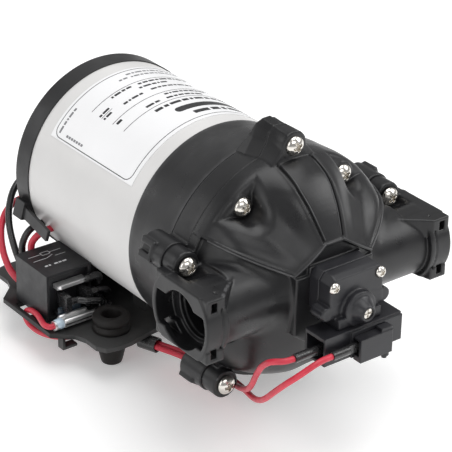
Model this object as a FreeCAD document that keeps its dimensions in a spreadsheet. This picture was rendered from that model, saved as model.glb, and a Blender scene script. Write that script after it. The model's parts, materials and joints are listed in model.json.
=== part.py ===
# Five-chamber 12 V diaphragm pump on a rubber-footed base plate.
#
# Frame: X runs from port to port, the motor lies along Y with the pump head
# towards -Y, +Z is up. The origin is on the floor, at the centre of the four
# foot bolts. Everything on the motor axis is drawn in a local frame whose
# origin is the plane where the motor can meets the pump, on the motor axis.
import FreeCAD, Part
import Sketcher
import math
import os
from FreeCAD import Vector as V

doc = FreeCAD.newDocument("electric_pump")
sheet = doc.addObject("Spreadsheet::Sheet", "dims")
D = {}


def dim(alias, value):
    row = len(D) + 1
    sheet.set("A%d" % row, alias)
    sheet.set("B%d" % row, "%g" % value)
    sheet.setAlias("B%d" % row, alias)
    D[alias] = float("%g" % value)


# ---- driving dimensions, millimetres and degrees
dim("front_y", -57.85)        # motor front plane, seen from the foot pattern's centre
dim("axis_height", 72)        # motor axis above the floor
dim("can_radius", 50)
dim("can_wall", 2.5)
dim("can_length", 84.8)
dim("cap_radius", 50.6)
dim("cap_length", 12)
dim("shaft_radius", 5)
dim("bearing_radius", 13)
dim("bearing_width", 8)
dim("core_radius", 34.8)
dim("core_length", 38)
dim("magnet_inner", 35.8)
dim("magnet_outer", 47.4)
dim("magnet_length", 44)
dim("commutator_radius", 13)
dim("commutator_length", 10)
dim("seam_radius", 54.6)      # housing radius at the first seam
dim("seam_depth", 32)         # first seam, in front of the can
dim("head_seam", 45)          # second seam, where the head starts
dim("head_radius", 55.3)
dim("head_depth", 84.5)
dim("screw_circle_outer", 60.3)
dim("screw_circle_inner", 47.9)
dim("screw_head_radius", 4.6)
dim("screw_shank_radius", 2.1)
dim("screw_plane", 54.9)
dim("boss_radius", 6.7)
dim("rear_boss_radius", 7.5)
dim("cam_tilt", 3.5)
dim("cam_plane", 28)
dim("cam_radius", 12.45)
dim("cam_bearing_outer", 23.5)
dim("cam_bearing_bore", 12.5)
dim("cam_bearing_width", 12)
dim("chamber_circle", 26)
dim("chamber_radius", 12.6)
dim("piston_radius", 9.2)
dim("valve_plate_radius", 41)
dim("valve_plate_front", 56)
dim("port_height", 2.5)
dim("port_depth", 64.6)
dim("port_tube_radius", 17.5)
dim("port_ring_radius", 20.3)
dim("port_face", 69)
dim("port_bore_radius", 12)
dim("port_bore_length", 24)
dim("port_mouth_radius", 15.5)
dim("rail_face", 68.3)
dim("rail_length", 37)
dim("rail_half_gap", 9.5)
dim("rail_half_height", 15.5)
dim("switch_half_width", 18.5)
dim("switch_axis_z", 1.1)
dim("pill_half_length", 24)
dim("pill_radius", 5)
dim("case_half_width", 21.5)
dim("plate_top", 18)
dim("plate_thickness", 2.5)
dim("plate_half_wing", 70.5)
dim("foot_x", 44)
dim("foot_y", 33.55)
dim("foot_hole_radius", 3.2)
dim("foot_height", 26.4)
dim("relay_width", 25)
dim("relay_length", 27.5)
dim("relay_height", 24.5)
dim("lead_radius", 1.7)
dim("switch_lead_radius", 1.4)
doc.recompute()


def E(alias, k=1.0, c=0.0):
    """k * cell + c, kept both as a number and as an expression."""
    return (k * D[alias] + c, "dims.%s * %.10g + %.10g" % (alias, k, c))


def num(e):
    return e[0] if isinstance(e, tuple) else float(e)


def bind(obj, prop, e):
    if isinstance(e, tuple):
        obj.setExpression(prop, e[1])
    else:
        setattr(obj, prop, float(e))


def turn(d):
    return FreeCAD.Rotation(V(0, 0, 1), V(*d))


def put(obj, p, rotation=None):
    obj.Placement = FreeCAD.Placement(V(num(p[0]), num(p[1]), num(p[2])), rotation or FreeCAD.Rotation())
    for letter, e in zip("xyz", p):
        if isinstance(e, tuple):
            obj.setExpression("Placement.Base." + letter, e[1])


count = [0]


def nm(kind):
    count[0] += 1
    return "%s_%03d" % (kind, count[0])


def cyl(r, length, p=(0, 0, 0), d=(0, 1, 0)):
    o = doc.addObject("Part::Cylinder", nm("cyl"))
    bind(o, "Radius", r)
    bind(o, "Height", length)
    put(o, p, turn(d))
    return o


def cone(r1, r2, length, p=(0, 0, 0), d=(0, 1, 0)):
    o = doc.addObject("Part::Cone", nm("cone"))
    bind(o, "Radius1", r1)
    bind(o, "Radius2", r2)
    bind(o, "Height", length)
    put(o, p, turn(d))
    return o


def box(size, p=(0, 0, 0), rotation=None):
    o = doc.addObject("Part::Box", nm("box"))
    bind(o, "Length", size[0])
    bind(o, "Width", size[1])
    bind(o, "Height", size[2])
    put(o, p, rotation)
    return o


def torus(r1, r2, p=(0, 0, 0), d=(0, 1, 0)):
    o = doc.addObject("Part::Torus", nm("torus"))
    bind(o, "Radius1", r1)
    bind(o, "Radius2", r2)
    put(o, p, turn(d))
    return o


def ball(r, p):
    o = doc.addObject("Part::Sphere", nm("ball"))
    bind(o, "Radius", r)
    put(o, p)
    return o


def prism(points, length, p=(0, 0, 0), rotation=None):
    """Straight prism on a polygon drawn in the local XY plane."""
    o = doc.addObject("Part::Feature", nm("outline"))
    o.Shape = Part.makePolygon([V(a, b, 0) for a, b in points + [points[0]]])
    e = doc.addObject("Part::Extrusion", nm("prism"))
    e.Base = o
    e.DirMode = "Custom"
    e.Dir = V(0, 0, 1)
    e.Solid = True
    bind(e, "LengthFwd", length)
    put(e, p, rotation)
    return e


def fuse(parts):
    if len(parts) == 1:
        return parts[0]
    o = doc.addObject("Part::MultiFuse", nm("fuse"))
    o.Shapes = parts
    o.Refine = True
    return o


def cut(base, tools):
    o = doc.addObject("Part::Cut", nm("cut"))
    o.Base = base
    o.Tool = fuse(tools)
    return o


def common(a, b):
    o = doc.addObject("Part::MultiCommon", nm("common"))
    o.Shapes = [a, b]
    return o


def group(parts):
    o = doc.addObject("Part::Compound", nm("group"))
    o.Links = parts
    return o


NODES = []
AXIS = (0, E("front_y"), E("axis_height"))


def node(obj, label, base=AXIS, rotation=None):
    if obj.TypeId in ("Part::Box", "Part::Cylinder", "Part::Cone", "Part::Torus", "Part::Sphere", "Part::Extrusion"):
        obj = group([obj])
    obj.Label = label
    put(obj, base, rotation)
    NODES.append(obj)
    return obj


# ---- bodies drawn as sketches
def plane(body, role):
    return [f for f in body.Origin.OriginFeatures if f.Role == role][0]


def new_body(name):
    b = doc.addObject("PartDesign::Body", name)
    return b


def sketch(body, role, name, offset=None):
    s = body.newObject("Sketcher::SketchObject", name)
    s.AttachmentSupport = (plane(body, role), [""])
    s.MapMode = "FlatFace"
    if offset is not None:
        s.AttachmentOffset = FreeCAD.Placement(V(0, 0, offset), FreeCAD.Rotation())
    return s


def polygon(s, pts):
    first = s.GeometryCount
    n = len(pts)
    for i in range(n):
        a, b = pts[i], pts[(i + 1) % n]
        s.addGeometry(Part.LineSegment(V(num(a[0]), num(a[1]), 0), V(num(b[0]), num(b[1]), 0)), False)
    for i in range(n):
        s.addConstraint(Sketcher.Constraint("Coincident", first + i, 2, first + (i + 1) % n, 1))
    for i in range(n):
        for k, e in enumerate(pts[i][:2]):
            v = num(e)
            if abs(v) < 1e-9:
                s.addConstraint(Sketcher.Constraint("PointOnObject", first + i, 1, -2 if k == 0 else -1))
            else:
                c = s.addConstraint(Sketcher.Constraint("DistanceX" if k == 0 else "DistanceY", -1, 1, first + i, 1, v))
                if isinstance(e, tuple):
                    s.setExpression("Constraints[%d]" % c, e[1])


def circle(s, x, y, r):
    g = s.addGeometry(Part.Circle(V(num(x), num(y), 0), V(0, 0, 1), num(r)), False)
    for k, e in enumerate((x, y)):
        v = num(e)
        if abs(v) < 1e-9:
            s.addConstraint(Sketcher.Constraint("PointOnObject", g, 3, -2 if k == 0 else -1))
        else:
            c = s.addConstraint(Sketcher.Constraint("DistanceX" if k == 0 else "DistanceY", -1, 1, g, 3, v))
            if isinstance(e, tuple):
                s.setExpression("Constraints[%d]" % c, e[1])
    c = s.addConstraint(Sketcher.Constraint("Radius", g, num(r)))
    if isinstance(r, tuple):
        s.setExpression("Constraints[%d]" % c, r[1])
    return g


def revolve(body, pts, name, role="XY_Plane", axis="V_Axis"):
    """Solid of revolution about the motor axis from a radius/length outline."""
    s = sketch(body, role, name + "_profile")
    polygon(s, pts)
    r = body.newObject("PartDesign::Revolution", name)
    r.Profile = s
    r.ReferenceAxis = (s, [axis])
    r.Angle = 360
    body.Tip = r
    return r


def pocket(body, s, length, name, reverse=False, through=False):
    p = body.newObject("PartDesign::Pocket", name)
    p.Profile = s
    if through:
        p.Type = "ThroughAll"
    else:
        bind(p, "Length", length)
    p.Reversed = reverse
    body.Tip = p
    return p


def pattern(body, feature, s, n, name):
    p = body.newObject("PartDesign::PolarPattern", name)
    p.Originals = [feature]
    p.Axis = (s, ["N_Axis"])
    p.Angle = 360
    p.Occurrences = n
    body.Tip = p
    return p


def five(r, start):
    """Five places on a circle round the motor axis, as (x, z)."""
    return [(r * math.cos(math.radians(start + 72 * i)), r * math.sin(math.radians(start + 72 * i))) for i in range(5)]


# =====================================================================
# Motor
# =====================================================================
can = new_body("motor_can_body")
revolve(can, [(E("can_radius", 1, -2.5), 0), (E("can_radius"), 0), (E("can_radius"), E("can_length")),
              (E("can_radius", 1, -2.5), E("can_length"))], "can_tube")
doc.recompute()
s = sketch(can, "XY_Plane", "saddle_screw_holes")
circle(s, 0, 32.85, 2.1)
circle(s, 0, 75.85, 2.1)
pocket(can, s, 60, "saddle_holes")
doc.recompute()
s = sketch(can, "YZ_Plane", "motor_lead_holes")
circle(s, 80.0, -20.6, 1.74)
circle(s, 72.6, -20.6, 1.74)
pocket(can, s, 60, "motor_lead_hole")
node(can, "motor_can")

# sticker round the can: from the left flank over the top to the right flank
lab = doc.addObject("Part::Cylinder", "label_outer")
bind(lab, "Radius", E("can_radius", 1, 0.22))
lab.Height = 67
lab.Angle = 134
lab.Placement = FreeCAD.Placement(V(0, 76, 0), FreeCAD.Rotation(V(1, 0, 0), 90))
lab_in = doc.addObject("Part::Cylinder", "label_inner")
bind(lab_in, "Radius", E("can_radius", 1, 0.02))
lab_in.Height = 80
lab_in.Placement = FreeCAD.Placement(V(0, 80, 0), FreeCAD.Rotation(V(1, 0, 0), 90))
label_cut = cut(lab, [lab_in])
# the quarter turn above starts at +X; the sticker's arc runs from 13.5 to 147.5 degrees
lab.Placement = FreeCAD.Placement(V(0, 76, 0), FreeCAD.Rotation(V(0, 1, 0), -13.5).multiply(FreeCAD.Rotation(V(1, 0, 0), 90)))
node(label_cut, "motor_label")

bell = new_body("front_bell_body")
revolve(bell, [(6, 0), (47.4, 0), (47.4, 9), (44.6, 9), (44.6, 3.5), (17, 3.5), (17, 10.5), (E("bearing_radius"), 10.5),
               (E("bearing_radius"), 1.5), (6, 1.5)], "bell")
doc.recompute()
s = sketch(bell, "XZ_Plane", "bolt_hole")
circle(s, 0, 41.5, 2.7)
f = pocket(bell, s, 12, "bolt_pocket")
doc.recompute()
pattern(bell, f, s, 2, "bolt_pattern")
node(bell, "front_end_bell")

rbell = new_body("rear_bell_body")
revolve(rbell, [(6, 83.3), (E("bearing_radius"), 83.3), (E("bearing_radius"), 74.3), (17, 74.3), (17, 81.3), (47.4, 81.3),
                (47.4, 84.8), (6, 84.8)], "rear_bell")
doc.recompute()
s = sketch(rbell, "XZ_Plane", "rear_bolt_hole")
circle(s, 0, 41.5, 2.7)
f = pocket(rbell, s, 90, "rear_bolt_pocket")
doc.recompute()
pattern(rbell, f, s, 2, "rear_bolt_pattern")
node(rbell, "rear_end_bell")


def ball_bearing(y, bore, outer, width):
    """Two rings, a row of balls and two shields."""
    w = width
    rings = [cut(cyl(outer, w, (0, y, 0)), [cyl(num(outer) - 2.6, w + 2, (0, y - 1, 0))]),
             cut(cyl(num(bore) + 2.4, w, (0, y, 0)), [cyl(bore, w + 2, (0, y - 1, 0))])]
    shield = cut(cyl(num(outer) - 2.6, w - 1.2, (0, y + 0.6, 0)), [cyl(num(bore) + 2.4, w, (0, y - 0.0, 0))])
    return rings + [shield]


node(group(ball_bearing(1.6, E("shaft_radius", 1, 0.03), E("bearing_radius", 1, -0.02), 8) +
           ball_bearing(75.2, E("shaft_radius", 1, 0.03), E("bearing_radius", 1, -0.02), 8)), "shaft_bearings")

cap = new_body("rear_cap_body")
revolve(cap, [(0, E("can_length", 1, 9.8)), (E("cap_radius", 1, -2.2), E("can_length", 1, 9.8)),
              (E("cap_radius", 1, -2.2), E("can_length")), (E("cap_radius"), E("can_length")),
              (E("cap_radius"), E("can_length", 1, 10.6)), (E("cap_radius", 1, -1.4), E("can_length", 1, 12)),
              (0, E("can_length", 1, 12))], "cap_shell")
doc.recompute()
tongue = box((1.6, 29.6, 5.5), (-56.4, 61.2, -19.4),
             FreeCAD.Rotation(V(0, 1, 0), V(3.1, 29, 2.1)).multiply(FreeCAD.Rotation(V(0, 1, 0), 14)))
lug = box((8.0, 7.6, 9), (-55.0, 85.2, -18.6), FreeCAD.Rotation(V(0, 1, 0), 16))
cap_all = cut(fuse([cap, tongue, lug]), [cyl(E("cap_radius", 1, -2.2), 8, (0, 86, 0)),
                                         cyl(E("can_radius", 1, 0.06), 30, (0, 54.8, 0)),
                                         cyl(1.74, 4, (-14, 93.9, -12.6)), cyl(1.74, 4, (-14, 93.9, -19.4))])
node(cap_all, "rear_cap")

mags = []
ring = cut(cyl(E("magnet_outer"), E("magnet_length"), (0, 14.8, 0)), [cyl(E("magnet_inner"), 60, (0, 10, 0))])
for side in (1, -1):
    wedge = prism([(side * 8, 0), (side * 30, 48), (side * 60, 48), (side * 60, -48), (side * 30, -48)], 60,
                  (0, 70, 0), FreeCAD.Rotation(V(1, 0, 0), 90))
    mags.append(common(ring, wedge))
node(group(mags), "field_magnets")

shaft = fuse([cyl(E("shaft_radius"), 118.3, (0, -35.5, 0)), cyl(6.2, 61.2, (0, 11.6, 0))])
node(shaft, "motor_shaft")

core_body = new_body("armature_core_body")
s = sketch(core_body, "XZ_Plane", "lamination")
circle(s, 0, 0, E("core_radius"))
circle(s, 0, 0, 6.2)
p = core_body.newObject("PartDesign::Pad", "stack")
p.Profile = s
bind(p, "Length", E("core_length"))
p.Reversed = True
core_body.Tip = p
doc.recompute()
s = sketch(core_body, "XZ_Plane", "winding_slot")
polygon(s, [(-1.4, 40), (1.4, 40), (1.4, 31.5), (4.6, 29.5), (2.2, 16.5), (-2.2, 16.5), (-4.6, 29.5), (-1.4, 31.5)])
f = pocket(core_body, s, 60, "slot")
doc.recompute()
pattern(core_body, f, s, 12, "slots")
core_body.setExpression("Placement.Base.y", None)
node(core_body, "armature_core", (0, E("front_y", 1, 18), E("axis_height")))

# coil filling each slot, joined by the end turns at both ends
coil_parts = []
for i in range(12):
    a = 30 * i
    coil_parts.append(prism([(-3.6, 28.9), (3.6, 28.9), (1.7, 17.2), (-1.7, 17.2)], 42, (0, 58, 0),
                            FreeCAD.Rotation(V(0, 1, 0), a).multiply(FreeCAD.Rotation(V(1, 0, 0), 90))))
end_front = cut(cone(27, 31, 4.9, (0, 13, 0)), [cyl(12, 20, (0, 5, 0))])
end_rear = cut(cone(31, 24, 5.4, (0, 56.1, 0)), [cyl(12, 20, (0, 50, 0))])
node(fuse([end_front, end_rear] + coil_parts), "armature_windings")

comm = new_body("commutator_body")
revolve(comm, [(6.2, 61.7), (E("commutator_radius", 1, 2), 61.7), (E("commutator_radius", 1, 2), 62.7),
               (E("commutator_radius"), 62.7), (E("commutator_radius"), 72.4), (6.2, 72.4)], "segments")
doc.recompute()
s = sketch(comm, "XZ_Plane", "mica_slot")
polygon(s, [(-0.35, 17), (0.35, 17), (0.35, 12.2), (-0.35, 12.2)])
f = pocket(comm, s, 80, "mica")
doc.recompute()
pattern(comm, f, s, 12, "mica_slots")
node(comm, "commutator")

# brush plate: insulating ring with two guide boxes
bp = cut(cyl(47.3, 1.8, (0, 61.9, 0)), [cyl(17.5, 10, (0, 58, 0)), cyl(3.0, 10, (0, 58, 41.5)), cyl(3.0, 10, (0, 58, -41.5))])
guides = []
for side in (1, -1):
    x0 = 16.0 if side > 0 else -40.0
    guides.append(cut(box((24, 10.4, 10), (x0, 63.7, -5)),
                      [box((22.4 if side > 0 else 22.4, 7.4, 6.4), (x0 if side > 0 else x0 + 1.6, 64.6, -3.2)),
                       box((4, 7.4, 6.4), (15 if side > 0 else -19, 64.6, -3.2))]))
node(fuse([bp] + guides), "brush_plate")
for side, name in ((1, "brush_right"), (-1, "brush_left")):
    b = box((13.5, 7.1, 6.1), (13.4 if side > 0 else -26.9, 64.75, -3.05))
    node(b, name)
for side, name in ((1, "brush_spring_right"), (-1, "brush_spring_left")):
    rings = [torus(2.3, 0.42, (side * (27.5 + 2.55 * i), 68.3, 0), (1, 0, 0)) for i in range(5)]
    links = [box((11.2, 0.7, 0.7), (27.05 if side > 0 else -38.25, 67.95, 1.95))]
    node(fuse(rings + links), name)

bolts = []
for z in (41.5, -41.5):
    bolts.append(fuse([cyl(2.4, 94, (0, -7.5, z)), cyl(4.4, 3.4, (0, 84.85, z))]))
node(group(bolts), "motor_bolts")

# =====================================================================
# Adapter housing, drive housing and wobble drive
# =====================================================================
adapter = new_body("adapter_body")
revolve(adapter, [(12, -0.03), (50.4, -0.03), (51.6, -10), (53.6, -24), (E("seam_radius"), E("seam_depth", -1, 0.03)),
                  (47, E("seam_depth", -1, 0.03)), (46.2, -6), (42, -3.6), (12, -3.6)], "adapter_shell")
doc.recompute()
s = sketch(adapter, "XZ_Plane", "adapter_bolt")
circle(s, 0, 41.5, 2.42)
f = pocket(adapter, s, 20, "adapter_bolt_hole", reverse=True)
doc.recompute()
pattern(adapter, f, s, 2, "adapter_bolt_holes")
adapter_bosses = []
for (x, z) in ((0, 41.5), (0, -41.5)):
    adapter_bosses.append(cut(cyl(4.6, 6, (x, -9.4, z)), [cyl(2.42, 10, (x, -11, z))]))
adapter_all = fuse([adapter] + adapter_bosses)
node(adapter_all, "front_housing")

drive_profile = new_body("drive_profile_body")
revolve(drive_profile, [(47.0, E("seam_depth", -1)), (E("seam_radius"), E("seam_depth", -1)),
                        (E("head_radius"), E("head_seam", -1, 0.03)), (44.1, E("head_seam", -1, 0.03)),
                        (44.1, -43.25), (41.5, -43.25), (41.5, -41.6), (44.3, -40.4), (44.3, -36)], "drive_ring")
drive_parts = [drive_profile]
for i, (x, z) in enumerate(five(D["screw_circle_outer"], 90)):
    a = math.degrees(math.atan2(z, x))
    rot = FreeCAD.Rotation(V(0, 1, 0), -a)
    drive_parts.append(cyl(E("rear_boss_radius"), 15.7, (x, -44.97, z)))
    # web that ties the boss to the ring
    web = doc.addObject("Part::Box", nm("web"))
    web.Length = 12
    web.Width = 12.9
    web.Height = 12.4
    web.Placement = FreeCAD.Placement(V(0, 0, 0), rot).multiply(FreeCAD.Placement(V(49.4, -44.97, -6.2), FreeCAD.Rotation()))
    drive_parts.append(web)
    # raised shoulder on the back of the boss
    shoulder = doc.addObject("Part::Box", nm("shoulder"))
    shoulder.Length = 5.2
    shoulder.Width = 9
    shoulder.Height = 9.6
    shoulder.Placement = FreeCAD.Placement(V(0, 0, 0), rot).multiply(FreeCAD.Placement(V(63.2, -38.6, -4.8), FreeCAD.Rotation()))
    drive_parts.append(shoulder)
inner_seats = []
for (x, z) in five(D["screw_circle_inner"], 126):
    inner_seats.append(cyl(4.6, 9, (x, -44.97, z)))
drive_blank = fuse(drive_parts + inner_seats)
drive_cuts = [cyl(E("screw_shank_radius", 1, 0.05), 13, (x, -46, z)) for (x, z) in five(D["screw_circle_outer"], 90)]
drive_cuts += [cyl(E("screw_shank_radius", 1, 0.05), 9.6, (x, -46, z)) for (x, z) in five(D["screw_circle_inner"], 126)]
for i, (x, z) in enumerate(five(D["screw_circle_outer"], 90)):
    a = math.degrees(math.atan2(z, x))
    notch = doc.addObject("Part::Box", nm("notch"))
    notch.Length = 3
    notch.Width = 10
    notch.Height = 3.4
    notch.Placement = FreeCAD.Placement(V(0, 0, 0), FreeCAD.Rotation(V(0, 1, 0), -a)).multiply(
        FreeCAD.Placement(V(66.6, -36.5, -1.7), FreeCAD.Rotation()))
    drive_cuts.append(notch)
drive_cuts.append(cyl(E("seam_radius", 1, 0.12), 20, (0, E("seam_depth", -1), 0)))
node(cut(drive_blank, drive_cuts), "drive_housing")

# the cam journal is tilted about X; the bearing and the wobble plate lie on the same tilted axis
TILT = FreeCAD.Rotation(V(1, 0, 0), D["cam_tilt"])
TILTED = (0, E("front_y", 1, -D["cam_plane"]), E("axis_height"))
journal = cyl(E("cam_radius"), 12.2, (0, -6.1, 0))
journal_tilted = group([journal])
journal_tilted.Placement = FreeCAD.Placement(V(0, -D["cam_plane"], 0), TILT)
weight = common(cyl(20, 3.4, (0, -18.6, 0)), box((44, 10, 22), (-22, -20, -21)))
cam = cut(fuse([journal_tilted, cyl(10.6, 6.4, (0, -21.6, 0)), weight]), [cyl(E("shaft_radius"), 60, (0, -60, 0))])
node(cam, "drive_cam")

cam_rings = [cut(cyl(E("cam_bearing_outer", 1, -0.02), E("cam_bearing_width"), (0, -6, 0)), [cyl(20.4, 20, (0, -10, 0))]),
             cut(cyl(15.8, E("cam_bearing_width"), (0, -6, 0)), [cyl(E("cam_bearing_bore"), 20, (0, -10, 0))]),
             cut(cyl(20.4, 10.4, (0, -5.2, 0)), [cyl(15.8, 20, (0, -10, 0))])]
node(group(cam_rings), "cam_bearing", TILTED, TILT)

wob = new_body("wobble_body")
revolve(wob, [(E("cam_bearing_outer"), 6), (27.6, 6), (27.6, -9.9), (37.2, -10.2), (37.2, -12), (0, -12), (0, -9.6),
              (18, -9.6), (18, -6.1), (E("cam_bearing_outer"), -6.1)], "wobble_disc")
doc.recompute()
s = sketch(wob, "XZ_Plane", "lightening_hole")
circle(s, 31.5 * math.cos(math.radians(126)), 31.5 * math.sin(math.radians(126)), 3.2)
f = pocket(wob, s, 60, "lighten", reverse=True)
doc.recompute()
pattern(wob, f, s, 5, "lighten_pattern")
wob_pads = [cyl(8.9, 2.6, (x, -14.5, z)) for (x, z) in five(D["chamber_circle"], 90)]
wob_holes = [cyl(1.3, 8, (x, -15.5, z)) for (x, z) in five(D["chamber_circle"], 90)]
node(cut(fuse([wob] + wob_pads), wob_holes), "wobble_plate", TILTED, TILT)

pistons, pscrews = [], []
for (x, z) in five(D["chamber_circle"], 90):
    pistons.append(cut(fuse([cyl(E("piston_radius"), 2.2, (x, -18.5, z)), cone(7.4, 9.2, 1.5, (x, -20, z))]),
                       [cyl(1.6, 8, (x, -22, z)), cone(3.1, 1.6, 1.5, (x, -20.01, z))]))
    pscrews.append(fuse([cyl(1.25, 7.6, (x, -19.4, z)), cone(3.0, 1.25, 1.5, (x, -20, z))]))
node(group(pistons + pscrews), "pump_pistons", TILTED, TILT)

# one-piece diaphragm: clamped rim and web, five convoluted cups that end between pads and pistons
web_back, web_front = -43.35, -44.9
disc = Part.makeCylinder(43.1, web_back - web_front, V(0, web_front, 0), V(0, 1, 0))
tilt_pl = FreeCAD.Placement(V(0, -D["cam_plane"], 0), TILT)
cups = []
for (x, z) in five(D["chamber_circle"], 90):
    disc = disc.cut(Part.makeCylinder(12.0, 6, V(x, web_front - 2, z), V(0, 1, 0)))
for (x, z) in five(D["chamber_circle"], 90):
    def ring_wire(r, y, tilted):
        e = Part.Wire([Part.makeCircle(r, V(x, y, z), V(0, 1, 0))])
        if tilted:
            e.Placement = tilt_pl
        return e
    centre = Part.makeCylinder(9.0, 1.3, V(x, -15.95, z), V(0, 1, 0))
    centre.Placement = tilt_pl
    hole = Part.makeCylinder(1.5, 6, V(x, -18, z), V(0, 1, 0))
    hole.Placement = tilt_pl
    skirt = Part.makeLoft([ring_wire(12.0, web_back, False), ring_wire(12.0, web_front, False),
                           ring_wire(9.0, -15.95, True), ring_wire(9.0, -14.65, True)], True, True, True)
    cups.append((centre.cut(hole), skirt))
dia_shape = disc
for c_, k_ in cups:
    dia_shape = dia_shape.fuse(k_).fuse(c_)
dia_shape = dia_shape.removeSplitter()
dia = doc.addObject("Part::Feature", "diaphragm_shape")
dia.Shape = dia_shape
print("diaphragm solids", len(dia_shape.Solids), "volume", round(dia_shape.Volume), dia_shape.isValid())
node(dia, "diaphragm")

# =====================================================================
# Valves and head
# =====================================================================
vp = new_body("valve_plate_body")
s = sketch(vp, "XZ_Plane", "valve_plate_disc")
circle(s, 0, 0, E("valve_plate_radius"))
p = vp.newObject("PartDesign::Pad", "valve_disc")
p.Profile = s
bind(p, "Length", 10.9)
vp.Tip = p
doc.recompute()


def ring_of_pockets(body, name, x, z, r, depth, n=5):
    sk = sketch(body, "XZ_Plane", name + "_sketch")
    circle(sk, x, z, r)
    fe = pocket(body, sk, depth, name, reverse=True)
    doc.recompute()
    pattern(body, fe, sk, n, name + "_ring")
    doc.recompute()


ring_of_pockets(vp, "chamber", 0, E("chamber_circle"), E("chamber_radius"), 6.6)
ring_of_pockets(vp, "inlet_a", 0, 35.9, 1.2, 40)
ring_of_pockets(vp, "inlet_b", 3.4, 32.4, 1.2, 40)
ring_of_pockets(vp, "inlet_c", -3.4, 32.4, 1.2, 40)
ring_of_pockets(vp, "inlet_stem", 0, 32.4, 1.25, 40)
ring_of_pockets(vp, "outlet_a", 1.9, 17.6, 1.5, 40)
ring_of_pockets(vp, "outlet_b", -1.9, 17.6, 1.5, 40)
s = sketch(vp, "XZ_Plane", "centre_hole")
circle(s, 0, 0, 2.05)
pocket(vp, s, 60, "centre", reverse=True)
node(vp, "valve_plate", (0, E("front_y", 1, -45.05), E("axis_height")))

inlets = []
for (x, z) in five(32.4, 90):
    inlets.append(fuse([cyl(5.0, 0.9, (x, -51.6, z)), cyl(1.2, 6.4, (x, -57.2, z)), cone(1.3, 1.8, 1.0, (x, -57.1, z))]))
node(group(inlets), "inlet_valves")
node(fuse([cyl(21.3, 1.1, (0, -57.15, 0)), cyl(2.0, 11.8, (0, -57, 0))]), "outlet_valve")
node(group([torus(24.0, 0.8, (0, -56.88, 0)), torus(39.6, 0.8, (0, -56.88, 0))]), "head_seals")

head_dome = new_body("head_dome_body")
revolve(head_dome, [(0, E("head_seam", -1)), (E("head_radius"), E("head_seam", -1)), (54.6, -53.2), (51.6, -62),
                    (47, -69.1), (38, -76.7), (26.4, -83.2), (22, E("head_depth", -1)), (0, E("head_depth", -1))],
        "dome")
solid_parts = [head_dome]
for (x, z) in five(D["screw_circle_outer"], 90):
    solid_parts.append(cyl(E("boss_radius"), 9.2, (x, -54.2, z)))
for (x, z) in five(D["screw_circle_inner"], 126):
    solid_parts.append(cyl(7.0, 9.3, (x, -54.3, z)))
solid_parts.append(prism([(-4.8, 25.7), (4.8, 25.7), (21.7, 15.0), (21.7, -14), (12, -21), (-12, -21), (-21.7, -14),
                          (-21.7, 15.0)], 16, (0, -69, 0), FreeCAD.Rotation(V(1, 0, 0), 90)))
PY = E("port_depth", -1)
PZ = E("port_height")
for side in (1, -1):
    d = (side, 0, 0)
    solid_parts.append(cyl(E("port_tube_radius"), 34, (side * 28, PY, PZ), d))
    collar = common(cyl(E("port_ring_radius"), 8, (side * 61, PY, PZ), d),
                    box((12, 60, 31), (59 if side > 0 else -71, -95, -13)))
    solid_parts.append(collar)
    for up in (1, -1):
        if up > 0:
            rail = prism([(side * 59.0, -83.2), (side * 68.3, -83.2), (side * 68.3, -46.2), (side * 54.0, -46.2),
                          (side * 55.2, -58.0)], 6, (0, 0, 12))
        else:
            rail = prism([(side * 59.0, -83.2), (side * 68.3, -83.2), (side * 68.3, -46.2), (side * 58.0, -46.2)],
                         6, (0, 0, -13))
        solid_parts.append(rail)
head_blank = fuse(solid_parts)
head_cuts = [cyl(41.2, 11.05, (0, -56, 0)),                       # pocket of the valve plate
             cut(cyl(38.2, 10.5, (0, -66, 0)), [fuse([cyl(25.7, 12, (0, -67, 0)),
                                                      cyl(8.2, 60, (10, PY, PZ), (1, 0, 0))])]),
             cyl(22.4, 24, (0, -79, 0)),                          # outlet chamber
             cyl(2.2, 10, (0, -85, E("switch_axis_z"))),          # pressure passage
             cut(cyl(24.9, 1.7, (0, -57.68, 0)), [cyl(23.1, 4, (0, -59, 0))]),
             cut(cyl(40.5, 1.7, (0, -57.68, 0)), [cyl(38.7, 4, (0, -59, 0))])]
for (x, z) in five(D["screw_circle_outer"], 90):
    head_cuts.append(cyl(E("screw_shank_radius", 1, 0.05), 14, (x, -56, z)))
    head_cuts.append(cyl(5.7, 12, (x, -66.2, z)))
for (x, z) in five(D["screw_circle_inner"], 126):
    head_cuts.append(cyl(E("screw_shank_radius", 1, 0.05), 14, (x, -56, z)))
    if abs(z + 14.8) < 1:
        # beside the port tubes the recess is a scallop under the tube
        head_cuts.append(cyl(6.0, 3.8, (x, -58.1, z)))
        head_cuts.append(common(cyl(6.0, 25, (x, -79, z)), box((20, 40, 20), (x - 10, -90, -31.8))))
    else:
        head_cuts.append(cyl(6.0, 12, (x, -66.3, z)))             # recess round the screw head
for side in (1, -1):
    d = (side, 0, 0)
    head_cuts.append(cyl(E("port_bore_radius"), 40, (side * 43, PY, PZ), d))
    mouth = common(cyl(E("port_mouth_radius"), 12, (side * 59.7, PY, PZ), d),
                   box((30, 60, 19), (50 if side > 0 else -80, -95, -7)))
    head_cuts.append(mouth)
    head_cuts.append(cyl(8, 9, (side * 35.5, PY, PZ), d))
    head_cuts.append(cyl(6, 20 if side > 0 else 9, (side * 18 if side > 0 else -29, PY, PZ), d))
    for up in (1, -1):
        slot = box((3.0, 60, 4.4), (62.8 if side > 0 else -65.8, -95, 11.6 if up > 0 else -11))
        head_cuts.append(slot)
node(cut(head_blank, head_cuts), "pump_head")


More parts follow.
